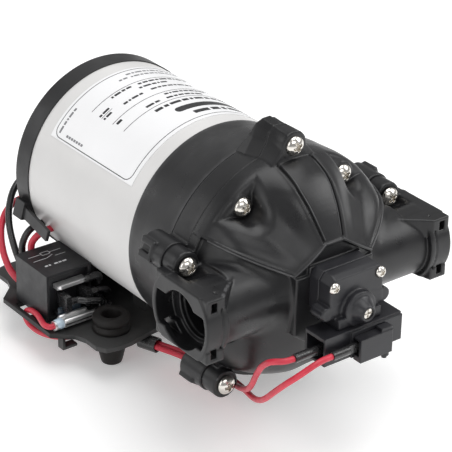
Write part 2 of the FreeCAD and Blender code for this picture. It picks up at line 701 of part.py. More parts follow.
def pan_screw(x, y, z, shank, head_r, total, head_h=3.0):
    """Cross-recess pan-head screw whose head faces -Y; y is the underside of the head."""
    head = fuse([cyl(head_r, head_h * 0.45, (x, y - head_h * 0.45, z)),
                 cone(head_r, head_r * 0.62, head_h * 0.55, (x, y - head_h * 0.45, z), (0, -1, 0)),
                 cyl(shank, total, (x, y - 0.3, z))])
    return cut(head, [box((head_r * 1.05, 2.2, 0.9), (x - head_r * 0.525, y - head_h - 0.6, z - 0.45)),
                      box((0.9, 2.2, head_r * 1.05), (x - 0.45, y - head_h - 0.6, z - head_r * 0.525))])


head_screws = [pan_screw(x, -54.25, z, E("screw_shank_radius"), D["screw_head_radius"], 18, 3.4)
               for (x, z) in five(D["screw_circle_outer"], 90)]
head_screws += [pan_screw(x, -54.35, z, E("screw_shank_radius"), D["screw_head_radius"], 18, 3.4)
                for (x, z) in five(D["screw_circle_inner"], 126)]
node(group(head_screws), "head_screws")

# =====================================================================
# Pressure switch
# =====================================================================
SZ = E("switch_axis_z")


def pill(y_front, depth):
    """Horizontal flange with round ends."""
    return fuse([box((E("pill_half_length", 2, -10), depth, E("pill_radius", 2)),
                     (E("pill_half_length", -1, 5), y_front, E("switch_axis_z", 1, -5))),
                 cyl(E("pill_radius"), depth, (E("pill_half_length", 1, -5), y_front, SZ)),
                 cyl(E("pill_radius"), depth, (E("pill_half_length", -1, 5), y_front, SZ))])


sw_body = cut(fuse([box((E("switch_half_width", 2), 6.45, 24.4), (E("switch_half_width", -1), -91.45, -3.9)), pill(-91.45, 5.4),
                    cyl(8.0, 6.45, (0, -91.45, SZ))]),
              [cyl(6.9, 3, (0, -92.9, SZ)), cyl(2.2, 20, (0, -95, SZ)),
               cyl(1.35, 9, (12.9, -92.5, 14)), cyl(1.35, 9, (-12.9, -92.5, 14))])
# the recess opens towards the cover; its floor carries the small diaphragm
node(sw_body, "switch_base", (0, E("front_y", 1, -0.05), E("axis_height")))
node(cyl(6.8, 1.5, (0, -91.4, SZ)), "switch_diaphragm", (0, E("front_y", 1, -0.05), E("axis_height")))

cover_upper = box((E("switch_half_width", 2), 8.1, 21.5), (E("switch_half_width", -1), -99.6, -1))
cover_upper = cut(cover_upper, [prism([(-99.7, 17.4), (-99.7, 21), (-95.6, 21)], 44, (-22, 0, 0),
                                      FreeCAD.Rotation(V(0, 1, 0), V(0, 0, 1), V(1, 0, 0), "ZXY"))])
cover_blank = fuse([cover_upper, pill(-101.4, 9.9), cyl(8.4, 10, (0, -103.2, SZ)), cyl(6.5, 10, (0, -108.3, SZ)),
                    box((24, 9.5, 3), (-12, -103, -6.3 + 0.33))])
cover_cuts = [cyl(7.2, 11.0, (0, -102.35, SZ)), cyl(3.7, 15.6, (0, -120, SZ)), cyl(2.56, 5, (0, -105, SZ)),
              box((7, 4.4, 12), (-3.5, -95.9, -8)), box((60, 20, 12), (-30, -105.6, -17.97)),
              cyl(1.45, 20, (12.9, -105, 14)), cyl(1.45, 20, (-12.9, -105, 14))]
node(cut(cover_blank, cover_cuts), "switch_cover")

cs = [pan_screw(x, -99.65, 14, 1.3, 2.75, 13, 2.0) for x in (12.9, -12.9)]
node(group(cs), "cover_screws")

plunger = fuse([cyl(5.8, 1.5, (0, -93.1, SZ)), cyl(2.4, 4, (0, -96.5, SZ)), box((3.2, 1.2, 15.5), (-1.6, -93.1, -14.2))])
node(plunger, "switch_plunger")
coil_rings = [torus(4.4, 0.45, (0, -94.0 - 1.55 * i, SZ)) for i in range(5)]
coil_link = box((0.8, 7.2, 0.8), (-0.4, -100.65, 1.1 + 4.0))
node(fuse(coil_rings + [coil_link]), "switch_spring")
seat = cut(fuse([cyl(5.6, 1.5, (0, -102.3, SZ)), box((13.4, 1.5, 2.4), (-6.7, -102.3, -0.1))]), [cyl(2.56, 4, (0, -104, SZ))])
node(seat, "spring_seat")
adj = cut(fuse([cyl(2.5, 9.2, (0, -107.4, SZ)), cyl(3.4, 2.0, (0, -106.6, SZ))]),
          [box((4.2, 1.6, 0.9), (-2.1, -108.2, 0.65)), box((0.9, 1.6, 4.2), (-0.45, -108.2, -1.0))])
node(adj, "adjusting_screw")

# snap-switch housing under the cover, open at its left end
case_blank = fuse([box((E("case_half_width", 2), 13.3, 13.5), (E("case_half_width", -1), -105, -19.5)),
                   box((28.5, 2, 12.6), (-7, -106, -19.5))])
case_cuts = [box((39, 11.2, 10.4), (-22, -104, -18.2)), box((6, 4.4, 5), (-3, -95.9, -9)), box((4.6, 3, 13), (-2.3, -94, -15.2)),
             box((5, 4, 3), (-3, -108, -14.6))]
node(cut(case_blank, case_cuts), "switch_case")
micro = fuse([box((20, 6.4, 9.6), (-9, -103.2, -18.1))])
micro_cut = cut(micro, [box((3.4, 4, 2.4), (-1.7, -99.2, -14.2)), box((7, 1.0, 3.4), (-10, -100.6, -15.0))])
node(box((3, 4.7, 2.0), (-1.5, -97.9, -14.0)), "switch_button")
terms = [box((8.4, 0.8, 3.2), (-17.4, -100.5, -14.9)), fuse([box((8, 0.8, 3.2), (-5, -108.0, -14.9)), box((1.2, 5.0, 1.2), (-1.4, -108.0, -13.4))])]
node(group([micro_cut] + terms), "snap_switch")

shell = cut(fuse([box((18, 4.9, 11.2), (-6, -110.95, -20.2)), box((6, 4.0, 1.6), (6, -110.5, -9.05))]),
            [box((15, 3.4, 7.6), (-7, -109.45, -17.6))])
node(group([shell, fuse([cyl(2.1, 1.7, (9.6, -108.6, -22.0), (0, 0, 1)), cyl(1.2, 3.4, (9.6, -108.6, -23.4), (0, 0, 1))])]), "plug_shell")

# =====================================================================
# Base plate, feet and relay
# =====================================================================
base = new_body("base_plate_body")
s = sketch(base, "XY_Plane", "plate_outline")
W = E("plate_half_wing")
NW = E("plate_half_wing", -1)
# lobes for the feet, wings between them, shallow waist at the front and the back
half = [(59.4, 35.0), (59.4, 43.4), (56.6, 48.0), (50.5, 49.4), (43.0, 49.2), (30, 46.4), (16, 45.0)]
right_up = [(W, 20.8), (61.5, 29.0)] + half
outline = []
outline += [(x, y) for (x, y) in right_up]
outline += [((-num(x)) if not isinstance(x, tuple) else NW, y) for (x, y) in reversed(right_up)]
outline += [((-num(x)) if not isinstance(x, tuple) else NW, -y) for (x, y) in right_up]
outline += [(x, -y) for (x, y) in reversed(right_up)]
polygon(s, outline)
p = base.newObject("PartDesign::Pad", "plate")
p.Profile = s
bind(p, "Length", E("plate_thickness"))
base.Tip = p
doc.recompute()
s = sketch(base, "XY_Plane", "foot_holes")
for sx in (1, -1):
    for sy in (1, -1):
        circle(s, E("foot_x", sx), E("foot_y", sy), 6.6)
pocket(base, s, 10, "foot_hole", reverse=True)
doc.recompute()
s = sketch(base, "XY_Plane", "lead_slot")
polygon(s, [(-68.6, -0.8), (-60.0, -0.8), (-60.0, 12.4), (-68.6, 12.4)])
pocket(base, s, 10, "lead_slot_cut", reverse=True)
doc.recompute()
s = sketch(base, "XY_Plane", "lead_hole")
circle(s, -38.2, -15.45, 2.6)
circle(s, 0, -25.0, 2.6)
circle(s, 0, 18.0, 2.6)
pocket(base, s, 10, "lead_hole_cut", reverse=True)
doc.recompute()
PT = D["plate_thickness"]
ribs = [box((44, 10, 16), (-22, -30.0, PT - 0.2)), box((44, 10, 16), (-22, 13.0, PT - 0.2))]
fence = [box((1.4, 20, 4.7), (-40.3, -6.0, PT - 0.2)), box((7, 1.4, 6), (-64.6, 16.3, PT - 0.2))]
hook = [box((8, 4.4, 1.4), (-66, -25.2, -6.3)), box((1.4, 4.4, 6.5), (-66, -25.2, -6.3))]
base_all = cut(fuse([base] + ribs + fence + hook),
               [cyl(E("can_radius", 1, 0.3), 200, (0, -100, D["axis_height"] - (D["plate_top"] - PT))),
                cyl(2.6, 30, (0, -25.0, -5), (0, 0, 1)), cyl(2.6, 30, (0, 18.0, -5), (0, 0, 1))])
node(base_all, "base_plate", (0, 0, E("plate_top", 1, -PT)))

feet = []
foot_profile = [(3.2, 0), (5.4, 0), (6.6, 1.2), (7.6, 8.0), (8.4, 13.5), (8.4, 15.4), (6.55, 15.5), (6.55, 18.0), (9.5, 18.1),
                (9.5, 21.6), (9.0, 22.4), (7.2, 22.6), (7.0, 23.9), (7.6, 24.4), (7.6, 26.0), (7.2, 26.4), (3.2, 26.4)]
for i, (sx, sy) in enumerate(((-1, -1), (1, -1), (1, 1), (-1, 1))):
    fb = doc.addObject("Part::Feature", nm("foot_outline"))
    fb.Shape = Part.Face(Part.makePolygon([V(r, 0, zz) for r, zz in foot_profile + [foot_profile[0]]]))
    rv = doc.addObject("Part::Revolution", nm("foot"))
    rv.Source = fb
    rv.Axis = V(0, 0, 1)
    rv.Base = V(0, 0, 0)
    rv.Angle = 360
    rv.Solid = True
    put(rv, (E("foot_x", sx), E("foot_y", sy), 0))
    feet.append(rv)
node(group(feet), "rubber_feet", (0, 0, 0))

sad = []
for y in (-25.0, 18.0):
    sad.append(fuse([cyl(2.05, 11.5, (0, y, 12.3), (0, 0, 1)), cyl(4.6, 2.9, (0, y, 12.5), (0, 0, 1))]))
node(group(sad), "saddle_screws", (0, 0, 0))

# relay: case open towards -Y, base, coil, yoke, armature and blades
RX, RY, RZ = -65.5, -11.35, D["plate_top"] + 0.05
RB = (RX, RY, E("plate_top", 1, 0.05))
rw, rl, rh = E("relay_width"), E("relay_length"), E("relay_height")
case_cut = cut(box((rw, rl, rh)), [box((E("relay_width", 1, -3.0), E("relay_length", 1, -1.4), E("relay_height", 1, -3.0)), (1.5, -0.1, 1.5))])
node(case_cut, "relay_case", RB)
rbase = cut(box((21.9, 3.0, 21.4), (1.55, 2.2, 1.55)),
            [box((16.2, 9, 1.4), (4.4, -1, 17.2)), box((16.2, 9, 1.4), (4.4, -1, 2.3)), box((1.2, 9, 6.8), (6.4, -1, 7.6)), box((1.2, 9, 6.8), (17.9, -1, 7.6))])
blades = [box((15.4, 7.6, 0.9), (4.8, -2.2, 17.45)), box((12.8, 16.9, 0.9), (4.8, -11.5, 2.55)),
          box((0.8, 12.8, 6.3), (6.6, -7.4, 7.85)), box((0.8, 12.8, 6.3), (18.1, -7.4, 7.85))]
node(group([rbase] + blades), "relay_base", RB)
bobbin = cut(fuse([cyl(7.6, 1.0, (12.2, 8.2, 11.5)), cyl(7.6, 1.0, (12.2, 20.2, 11.5)), cyl(3.6, 13.0, (12.2, 8.2, 11.5))]), [cyl(2.6, 20, (12.2, 5, 11.5))])
winding = cut(cyl(6.8, 10.9, (12.2, 9.25, 11.5)), [cyl(3.65, 20, (12.2, 5, 11.5))])
yoke = fuse([cyl(2.5, 14.6, (12.2, 7.9, 11.5)), box((12, 1.4, 13.4), (6.2, 22.2, 7.5)), box((12, 16.0, 1.4), (6.2, 7.6, 19.6))])
node(group([bobbin, winding, yoke]), "relay_coil", RB)
arm = box((11, 1.1, 14.6), (6.7, 6.1, 6.0))
node(arm, "relay_armature", RB)

recept = [cut(box((16.2, 4.2, 2.0), (4.4, -2.6, 16.9)), [box((15.6, 9, 1.0), (4.7, -4, 17.4))]),
          cut(box((16.2, 7.0, 2.4), (2.0, -12.0, 1.8)), [box((15.6, 9, 1.0), (2.3, -13, 2.5))]),
          cut(box((2.2, 6.6, 7.2), (5.9, -8.1, 7.4)), [box((0.9, 9, 6.5), (6.55, -10, 7.75))]),
          cut(box((2.2, 6.6, 7.2), (17.4, -8.1, 7.4)), [box((0.9, 9, 6.5), (18.05, -10, 7.75))])]
crimps = [cyl(1.5, 3.15, (20.5, -1.9, 17.9), (1, 0, 0)), cyl(1.5, 3.4, (-1.3, -9.2, 3.0), (1, 0, 0)),
          cyl(1.35, 2.1, (8.0, -6.2, 11.0), (1, 0, 0)), cyl(1.5, 3.55, (19.5, -6.0, 12.5), (1, 0, 0))]
supply_crimp = cyl(1.5, 3.4, (18.1, -9.2, 3.0), (1, 0, 0))
sleeve_white = cut(cyl(2.5, 4.2, (-2.6, -9.2, 3.0), (1, 0, 0)), [cyl(1.53, 20, (-9, -9.2, 3.0), (1, 0, 0))])
node(group([fuse([recept[0], crimps[0]]), fuse([recept[1], crimps[1], supply_crimp]), fuse([recept[2], crimps[2]]),
            fuse([recept[3], crimps[3]]), sleeve_white]), "relay_receptacles", RB)


# =====================================================================
# Leads: straight runs joined by tangent arcs, drawn in the motor frame
# =====================================================================
def lead_path(pts, fixed=None):
    pts = [V(*q) for q in pts]
    edges = []
    radii = []
    start = pts[0]
    total = 0.0
    for i in range(1, len(pts) - 1):
        a, b, c = pts[i - 1], pts[i], pts[i + 1]
        u = (b - a)
        w = (c - b)
        lu, lw = u.Length, w.Length
        u.normalize()
        w.normalize()
        ang = u.getAngle(w)
        t = 0.45 * min(lu, lw)
        r = t / math.tan(ang / 2)
        radii.append(r)
        p1 = b - u * t
        p2 = b + w * t
        bis = (w - u)
        bis.normalize()
        centre_dist = r / math.cos(ang / 2)
        centre = b + bis * centre_dist
        mid = centre - bis * r
        edges.append(Part.LineSegment(start, p1).toShape())
        edges.append(Part.Arc(p1, mid, p2).toShape())
        start = p2
    edges.append(Part.LineSegment(start, pts[-1]).toShape())
    return Part.Wire(edges), radii


def lead(label, pts, radius, base=AXIS):
    path, radii = lead_path(pts)
    d0 = V(*pts[1]) - V(*pts[0])
    section = Part.Wire([Part.makeCircle(radius, V(*pts[0]), d0)])
    solid = path.makePipeShell([section], True, False)
    if solid.Volume < 0:
        solid.reverse()
    o = doc.addObject("Part::Feature", label + "_tube")
    o.Shape = solid
    want = math.pi * radius * radius * path.Length
    print("%-18s length %6.1f  volume/section*length %.4f  dia %.1f  radii %s" % (
        label, path.Length, solid.Volume / want, 2 * radius, " ".join("%.1f" % q for q in radii)))
    node(o, label, base)
    return o


LR = D["lead_radius"]
SR = D["switch_lead_radius"]
lead("motor_lead_black", [(-43.6, 80.0, -20.6), (-50.2, 80.0, -20.6), (-55.0, 80.3, -23.6), (-57.6, 80.7, -29.0),
                          (-57.6, 80.7, -35.2), (-55.6, 80.2, -40.8), (-51.6, 79.4, -45.2), (-46.45, 79.3, -45.45)], LR)
lead("motor_lead_red", [(-43.6, 72.6, -20.6), (-49.6, 72.6, -20.6), (-53.4, 73.8, -23.0), (-55.0, 76.0, -27.0),
                        (-54.8, 77.2, -32.2), (-52.2, 77.6, -37.0), (-47.8, 77.5, -40.4), (-42.6, 77.3, -41.9),
                        (-37.4, 75.0, -43.6), (-35.7, 68.6, -45.0), (-35.8, 61.6, -45.6), (-35.8, 54.4, -45.2),
                        (-36.0, 48.6, -43.0), (-36.3, 45.0, -39.2), (-37.8, 44.5, -36.05), (-41.75, 44.5, -36.05)], LR)
lead("loop_lead_black", [(-14.0, 95.2, -12.6), (-14.0, 101.4, -12.6), (-18.2, 105.8, -11.4), (-26.0, 108.2, -9.6),
                         (-35.0, 108.0, -8.2), (-43.2, 105.4, -8.6), (-49.4, 102.2, -12.6), (-53.4, 99.0, -18.8),
                         (-55.8, 95.2, -25.4), (-56.8, 90.8, -32.0), (-57.0, 86.4, -38.4), (-56.0, 82.6, -44.8),
                         (-52.2, 79.8, -48.95), (-46.6, 79.3, -48.95)], LR)
lead("loop_lead_red", [(-14.0, 95.2, -19.4), (-14.0, 101.2, -19.4), (-18.4, 105.8, -20.4), (-26.4, 108.4, -21.0),
                       (-35.6, 109.0, -20.6), (-44.4, 107.6, -20.6), (-51.8, 104.6, -22.8), (-56.8, 101.2, -27.8),
                       (-59.6, 97.0, -33.8), (-61.0, 92.2, -39.8), (-61.2, 86.8, -45.2), (-59.4, 81.6, -49.4),
                       (-55.2, 78.2, -51.8), (-49.0, 76.5, -52.2), (-42.2, 76.7, -52.25), (-36.6, 74.6, -52.2),
                       (-34.7, 68.0, -52.15), (-34.4, 60.6, -52.2), (-34.5, 52.8, -52.1), (-34.3, 45.4, -51.7),
                       (-34.9, 39.6, -51.2), (-38.6, 37.3, -50.95), (-43.95, 37.3, -50.95)], LR)
lead("ground_lead", [(-30.75, 79.3, -47.2), (-27.2, 79.1, -47.5), (-25.4, 75.4, -48.6), (-26.6, 69.4, -50.2), (-29.0, 62.6, -51.2),
                     (-30.4, 55.2, -51.2), (-30.6, 48.4, -49.8), (-32.2, 43.2, -46.8), (-35.0, 40.8, -43.2),
                     (-38.4, 40.5, -41.45), (-42.4, 40.5, -41.45)], 1.25)
node(cyl(3.5, 15.6, (-46.4, 79.3, -47.2), (1, 0, 0)), "lead_splice")

lead("switch_lead_rear",
     [(-66.85, 37.3, -50.95), (-69.9, 37.3, -50.95), (-71.0, 40.9, -51.2), (-69.2, 46.6, -51.8), (-67.2, 52.6, -52.2),
      (-66.95, 58.6, -52.6), (-66.9, 63.2, -54.6), (-66.9, 65.2, -58.6), (-66.6, 62.6, -61.9), (-66.2, 56.6, -62.9),
      (-65.4, 49.6, -62.4), (-63.8, 42.8, -60.9), (-61.0, 37.2, -59.4), (-56.4, 34.8, -58.7), (-50.2, 36.4, -58.5),
      (-43.6, 37.0, -58.5), (-37.8, 33.8, -58.7), (-34.5, 28.0, -59.4), (-34.1, 21.6, -60.1), (-34.55, 16.45, -60.4),
      (-30.15, 4.95, -60.4), (-27.2, -4.6, -60.0), (-25.2, -15.0, -59.4), (-24.2, -26.0, -58.7),
      (-24.0, -37.0, -57.9), (-25.0, -47.6, -56.2), (-28.0, -57.6, -52.4), (-31.8, -66.4, -46.2), (-35.8, -74.0, -38.0),
      (-39.4, -81.0, -28.6), (-42.2, -88.0, -19.8), (-43.0, -94.6, -14.0), (-39.4, -99.7, -12.8), (-34.5, -100.1, -12.95)], SR)
lead("switch_lead_front",
     [(-55.35, 40.3, -42.95), (-52.4, 40.2, -42.95), (-49.6, 37.4, -43.1), (-45.8, 36.2, -43.8), (-42.0, 36.9, -45.2),
      (-39.6, 39.4, -47.8), (-38.4, 41.8, -51.4), (-38.2, 42.3, -55.6), (-37.2, 39.8, -58.8), (-34.4, 34.6, -59.9),
      (-31.8, 28.4, -60.2), (-31.0, 22.4, -60.3), (-31.65, 17.55, -60.4), (-27.25, 6.05, -60.4), (-23.9, -4.4, -60.0),
      (-21.9, -14.8, -59.4), (-20.9, -25.8, -58.8), (-20.9, -36.8, -58.3), (-22.2, -47.6, -57.2), (-25.4, -58.0, -55.2),
      (-29.6, -67.8, -51.6), (-33.6, -77.0, -46.2), (-37.0, -85.4, -39.4), (-38.8, -93.0, -31.6), (-38.4, -99.8, -24.4),
      (-35.0, -104.8, -18.8), (-29.8, -107.2, -14.8), (-24.6, -107.6, -13.4), (-19.6, -107.6, -13.4)], SR)

# black sleeve on the two switch leads where they leave the plate, and crimps with their sleeves
S0, S1 = V(-33.1, 17.0, -60.4), V(-28.7, 5.5, -60.4)
sd = S1 - S0
sd.normalize()
sl_a = S0 + sd * 1.2
sleeve = cut(cyl(3.75, 9.6, tuple(sl_a), tuple(sd)), [cyl(3.15, 30, tuple(S0 - sd * 8), tuple(sd))])
node(sleeve, "lead_sleeve")
tip_rear = [cyl(2.05, 12.4, (-34.35, -100.1, -12.95), (1, 0, 0)), box((4.8, 1.6, 4.2), (-22.1, -100.9, -15.4))]
tip_front = [cyl(2.05, 9.2, (-19.55, -107.6, -13.4), (1, 0, 0)), box((4.4, 1.6, 4.2), (-10.4, -108.4, -15.4))]
tip_a = cut(fuse(tip_rear), [box((9, 0.86, 3.3), (-18.4, -100.53, -14.95))])
tip_b = cut(fuse(tip_front), [box((9, 0.86, 3.3), (-6.6, -108.03, -14.95))])
node(group([tip_a, tip_b]), "switch_spades")
doc.recompute()

# ---- checks, then the STEP files
bad = [o.Name for o in doc.Objects if ("Invalid" in o.State or "Error" in o.State)]
if bad:
    raise SystemExit("failed objects: %s" % bad)
os.makedirs("parts", exist_ok=True)
labels = [o.Label for o in NODES]
assert len(set(labels)) == len(labels), "labels repeat"
for o in NODES:
    shp = o.Shape
    if shp.isNull() or not shp.isValid() or not shp.Solids or shp.Volume <= 0:
        raise SystemExit("bad shape: %s" % o.Label)
for o in NODES:
    o.Shape.exportStep("parts/%s.step" % o.Label)
    bb = o.Shape.BoundBox
    print("%-20s solids %2d vol %9.0f  x %7.2f %7.2f  y %7.2f %7.2f  z %7.2f %7.2f" % (
        o.Label, len(o.Shape.Solids), o.Shape.Volume, bb.XMin, bb.XMax, bb.YMin, bb.YMax, bb.ZMin, bb.ZMax))
print(len(NODES), "nodes")
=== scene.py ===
import json
import math

import bmesh
import bpy
import numpy as np
from mathutils import Matrix, Vector


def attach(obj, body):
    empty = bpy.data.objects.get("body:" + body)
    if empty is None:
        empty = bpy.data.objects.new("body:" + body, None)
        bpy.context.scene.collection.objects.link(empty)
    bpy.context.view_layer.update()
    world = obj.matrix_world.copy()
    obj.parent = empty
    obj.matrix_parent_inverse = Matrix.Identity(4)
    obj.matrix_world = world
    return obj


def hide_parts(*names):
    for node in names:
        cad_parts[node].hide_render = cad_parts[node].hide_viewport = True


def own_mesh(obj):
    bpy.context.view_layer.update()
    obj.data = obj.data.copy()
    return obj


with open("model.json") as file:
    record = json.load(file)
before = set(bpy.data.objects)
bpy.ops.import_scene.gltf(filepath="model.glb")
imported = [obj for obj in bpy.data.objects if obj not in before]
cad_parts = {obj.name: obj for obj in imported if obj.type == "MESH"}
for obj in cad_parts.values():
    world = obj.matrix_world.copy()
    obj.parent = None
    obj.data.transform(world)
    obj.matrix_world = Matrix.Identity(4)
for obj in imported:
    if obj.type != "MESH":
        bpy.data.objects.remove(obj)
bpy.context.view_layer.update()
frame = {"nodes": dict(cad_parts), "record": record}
N = frame["nodes"]

YOFF, ZOFF = -57.85, 72.0  # the motor frame's origin, in mm


def W(x, y, z):
    """Motor-frame millimetres to metres in the row frame."""
    return Vector((x / 1000, (y + YOFF) / 1000, (z + ZOFF) / 1000))


# ---------------------------------------------------------------- materials
def nodes_of(name):
    m = bpy.data.materials.new(name)
    m.use_nodes = True
    t = m.node_tree
    for n in list(t.nodes):
        t.nodes.remove(n)
    out = t.nodes.new("ShaderNodeOutputMaterial")
    b = t.nodes.new("ShaderNodeBsdfPrincipled")
    t.links.new(b.outputs[0], out.inputs[0])
    return m, t, b


def noise(t, scale, detail=3.0, rough=0.55, stretch=None):
    co = t.nodes.new("ShaderNodeTexCoord")
    src = co.outputs["Object"]
    if stretch:
        mp = t.nodes.new("ShaderNodeMapping")
        mp.inputs["Scale"].default_value = stretch
        t.links.new(src, mp.inputs["Vector"])
        src = mp.outputs[0]
    n = t.nodes.new("ShaderNodeTexNoise")
    n.inputs["Scale"].default_value = scale
    n.inputs["Detail"].default_value = detail
    n.inputs["Roughness"].default_value = rough
    t.links.new(src, n.inputs["Vector"])
    return n.outputs["Fac"]


def ramp(t, fac, stops):
    r = t.nodes.new("ShaderNodeValToRGB")
    e = r.color_ramp.elements
    e[0].position, e[0].color = stops[0][0], (*stops[0][1], 1)
    e[1].position, e[1].color = stops[-1][0], (*stops[-1][1], 1)
    for p, c in stops[1:-1]:
        k = e.new(p)
        k.color = (*c, 1)
    t.links.new(fac, r.inputs[0])
    return r.outputs[0]


def remap(t, fac, lo, hi):
    r = t.nodes.new("ShaderNodeMapRange")
    r.inputs["From Min"].default_value = 0.3
    r.inputs["From Max"].default_value = 0.7
    r.inputs["To Min"].default_value = lo
    r.inputs["To Max"].default_value = hi
    t.links.new(fac, r.inputs["Value"])
    return r.outputs[0]


def tint(c, k):
    return tuple(min(1.0, max(0.0, v * k)) for v in c)


def surface_mat(name, base, rough, metal=0.0, var=0.08, var_scale=60, grain=900, bump=0.15, depth=0.00008,
                rough_var=0.08, edge=None, edge_highlight_at=(0.54, 0.62), round_edge=0.0004, coat=0.0, spec=0.5,
                stretch=None, specks=None, warm=None):
    m, t, b = nodes_of(name)
    b.inputs["Metallic"].default_value = metal
    b.inputs["Coat Weight"].default_value = coat
    b.inputs["Coat Roughness"].default_value = 0.25
    b.inputs["Specular IOR Level"].default_value = spec
    big = noise(t, var_scale, 4.0)
    c0, c1 = tint(base, 1 - var), tint(base, 1 + var)
    if warm:
        c1 = warm
    col = ramp(t, big, [(0.32, c0), (0.68, c1)])
    if specks:
        mix = t.nodes.new("ShaderNodeMix")
        mix.data_type = "RGBA"
        fac = noise(t, specks[1], 1.0)
        sr = ramp(t, fac, [(specks[2], (0, 0, 0)), (specks[2] + 0.03, (1, 1, 1))])
        t.links.new(sr, mix.inputs["Factor"])
        t.links.new(col, mix.inputs["A"])
        mix.inputs["B"].default_value = (*specks[0], 1)
        col = mix.outputs["Result"]
    # Painted highlight: convex edges, found by pointiness, are mixed towards the lighter edge colour.
    if edge:
        geo = t.nodes.new("ShaderNodeNewGeometry")
        edge_highlight_fac = ramp(t, geo.outputs["Pointiness"], [(edge_highlight_at[0], (0, 0, 0)), (edge_highlight_at[1], (1, 1, 1))])
        mix = t.nodes.new("ShaderNodeMix")
        mix.data_type = "RGBA"
        t.links.new(edge_highlight_fac, mix.inputs["Factor"])
        t.links.new(col, mix.inputs["A"])
        mix.inputs["B"].default_value = (*edge, 1)
        col = mix.outputs["Result"]
    t.links.new(col, b.inputs["Base Color"])
    t.links.new(remap(t, noise(t, var_scale * 2.3, 3.0), max(0.03, rough - rough_var), min(1, rough + rough_var)),
                b.inputs["Roughness"])
    bp = t.nodes.new("ShaderNodeBump")
    bp.inputs["Strength"].default_value = bump
    bp.inputs["Distance"].default_value = depth
    t.links.new(noise(t, grain, 2.0, 0.6, stretch), bp.inputs["Height"])
    if round_edge:
        bev = t.nodes.new("ShaderNodeBevel")
        bev.samples = 4
        bev.inputs["Radius"].default_value = round_edge
        t.links.new(bev.outputs[0], bp.inputs["Normal"])
    t.links.new(bp.outputs[0], b.inputs["Normal"])
    return m


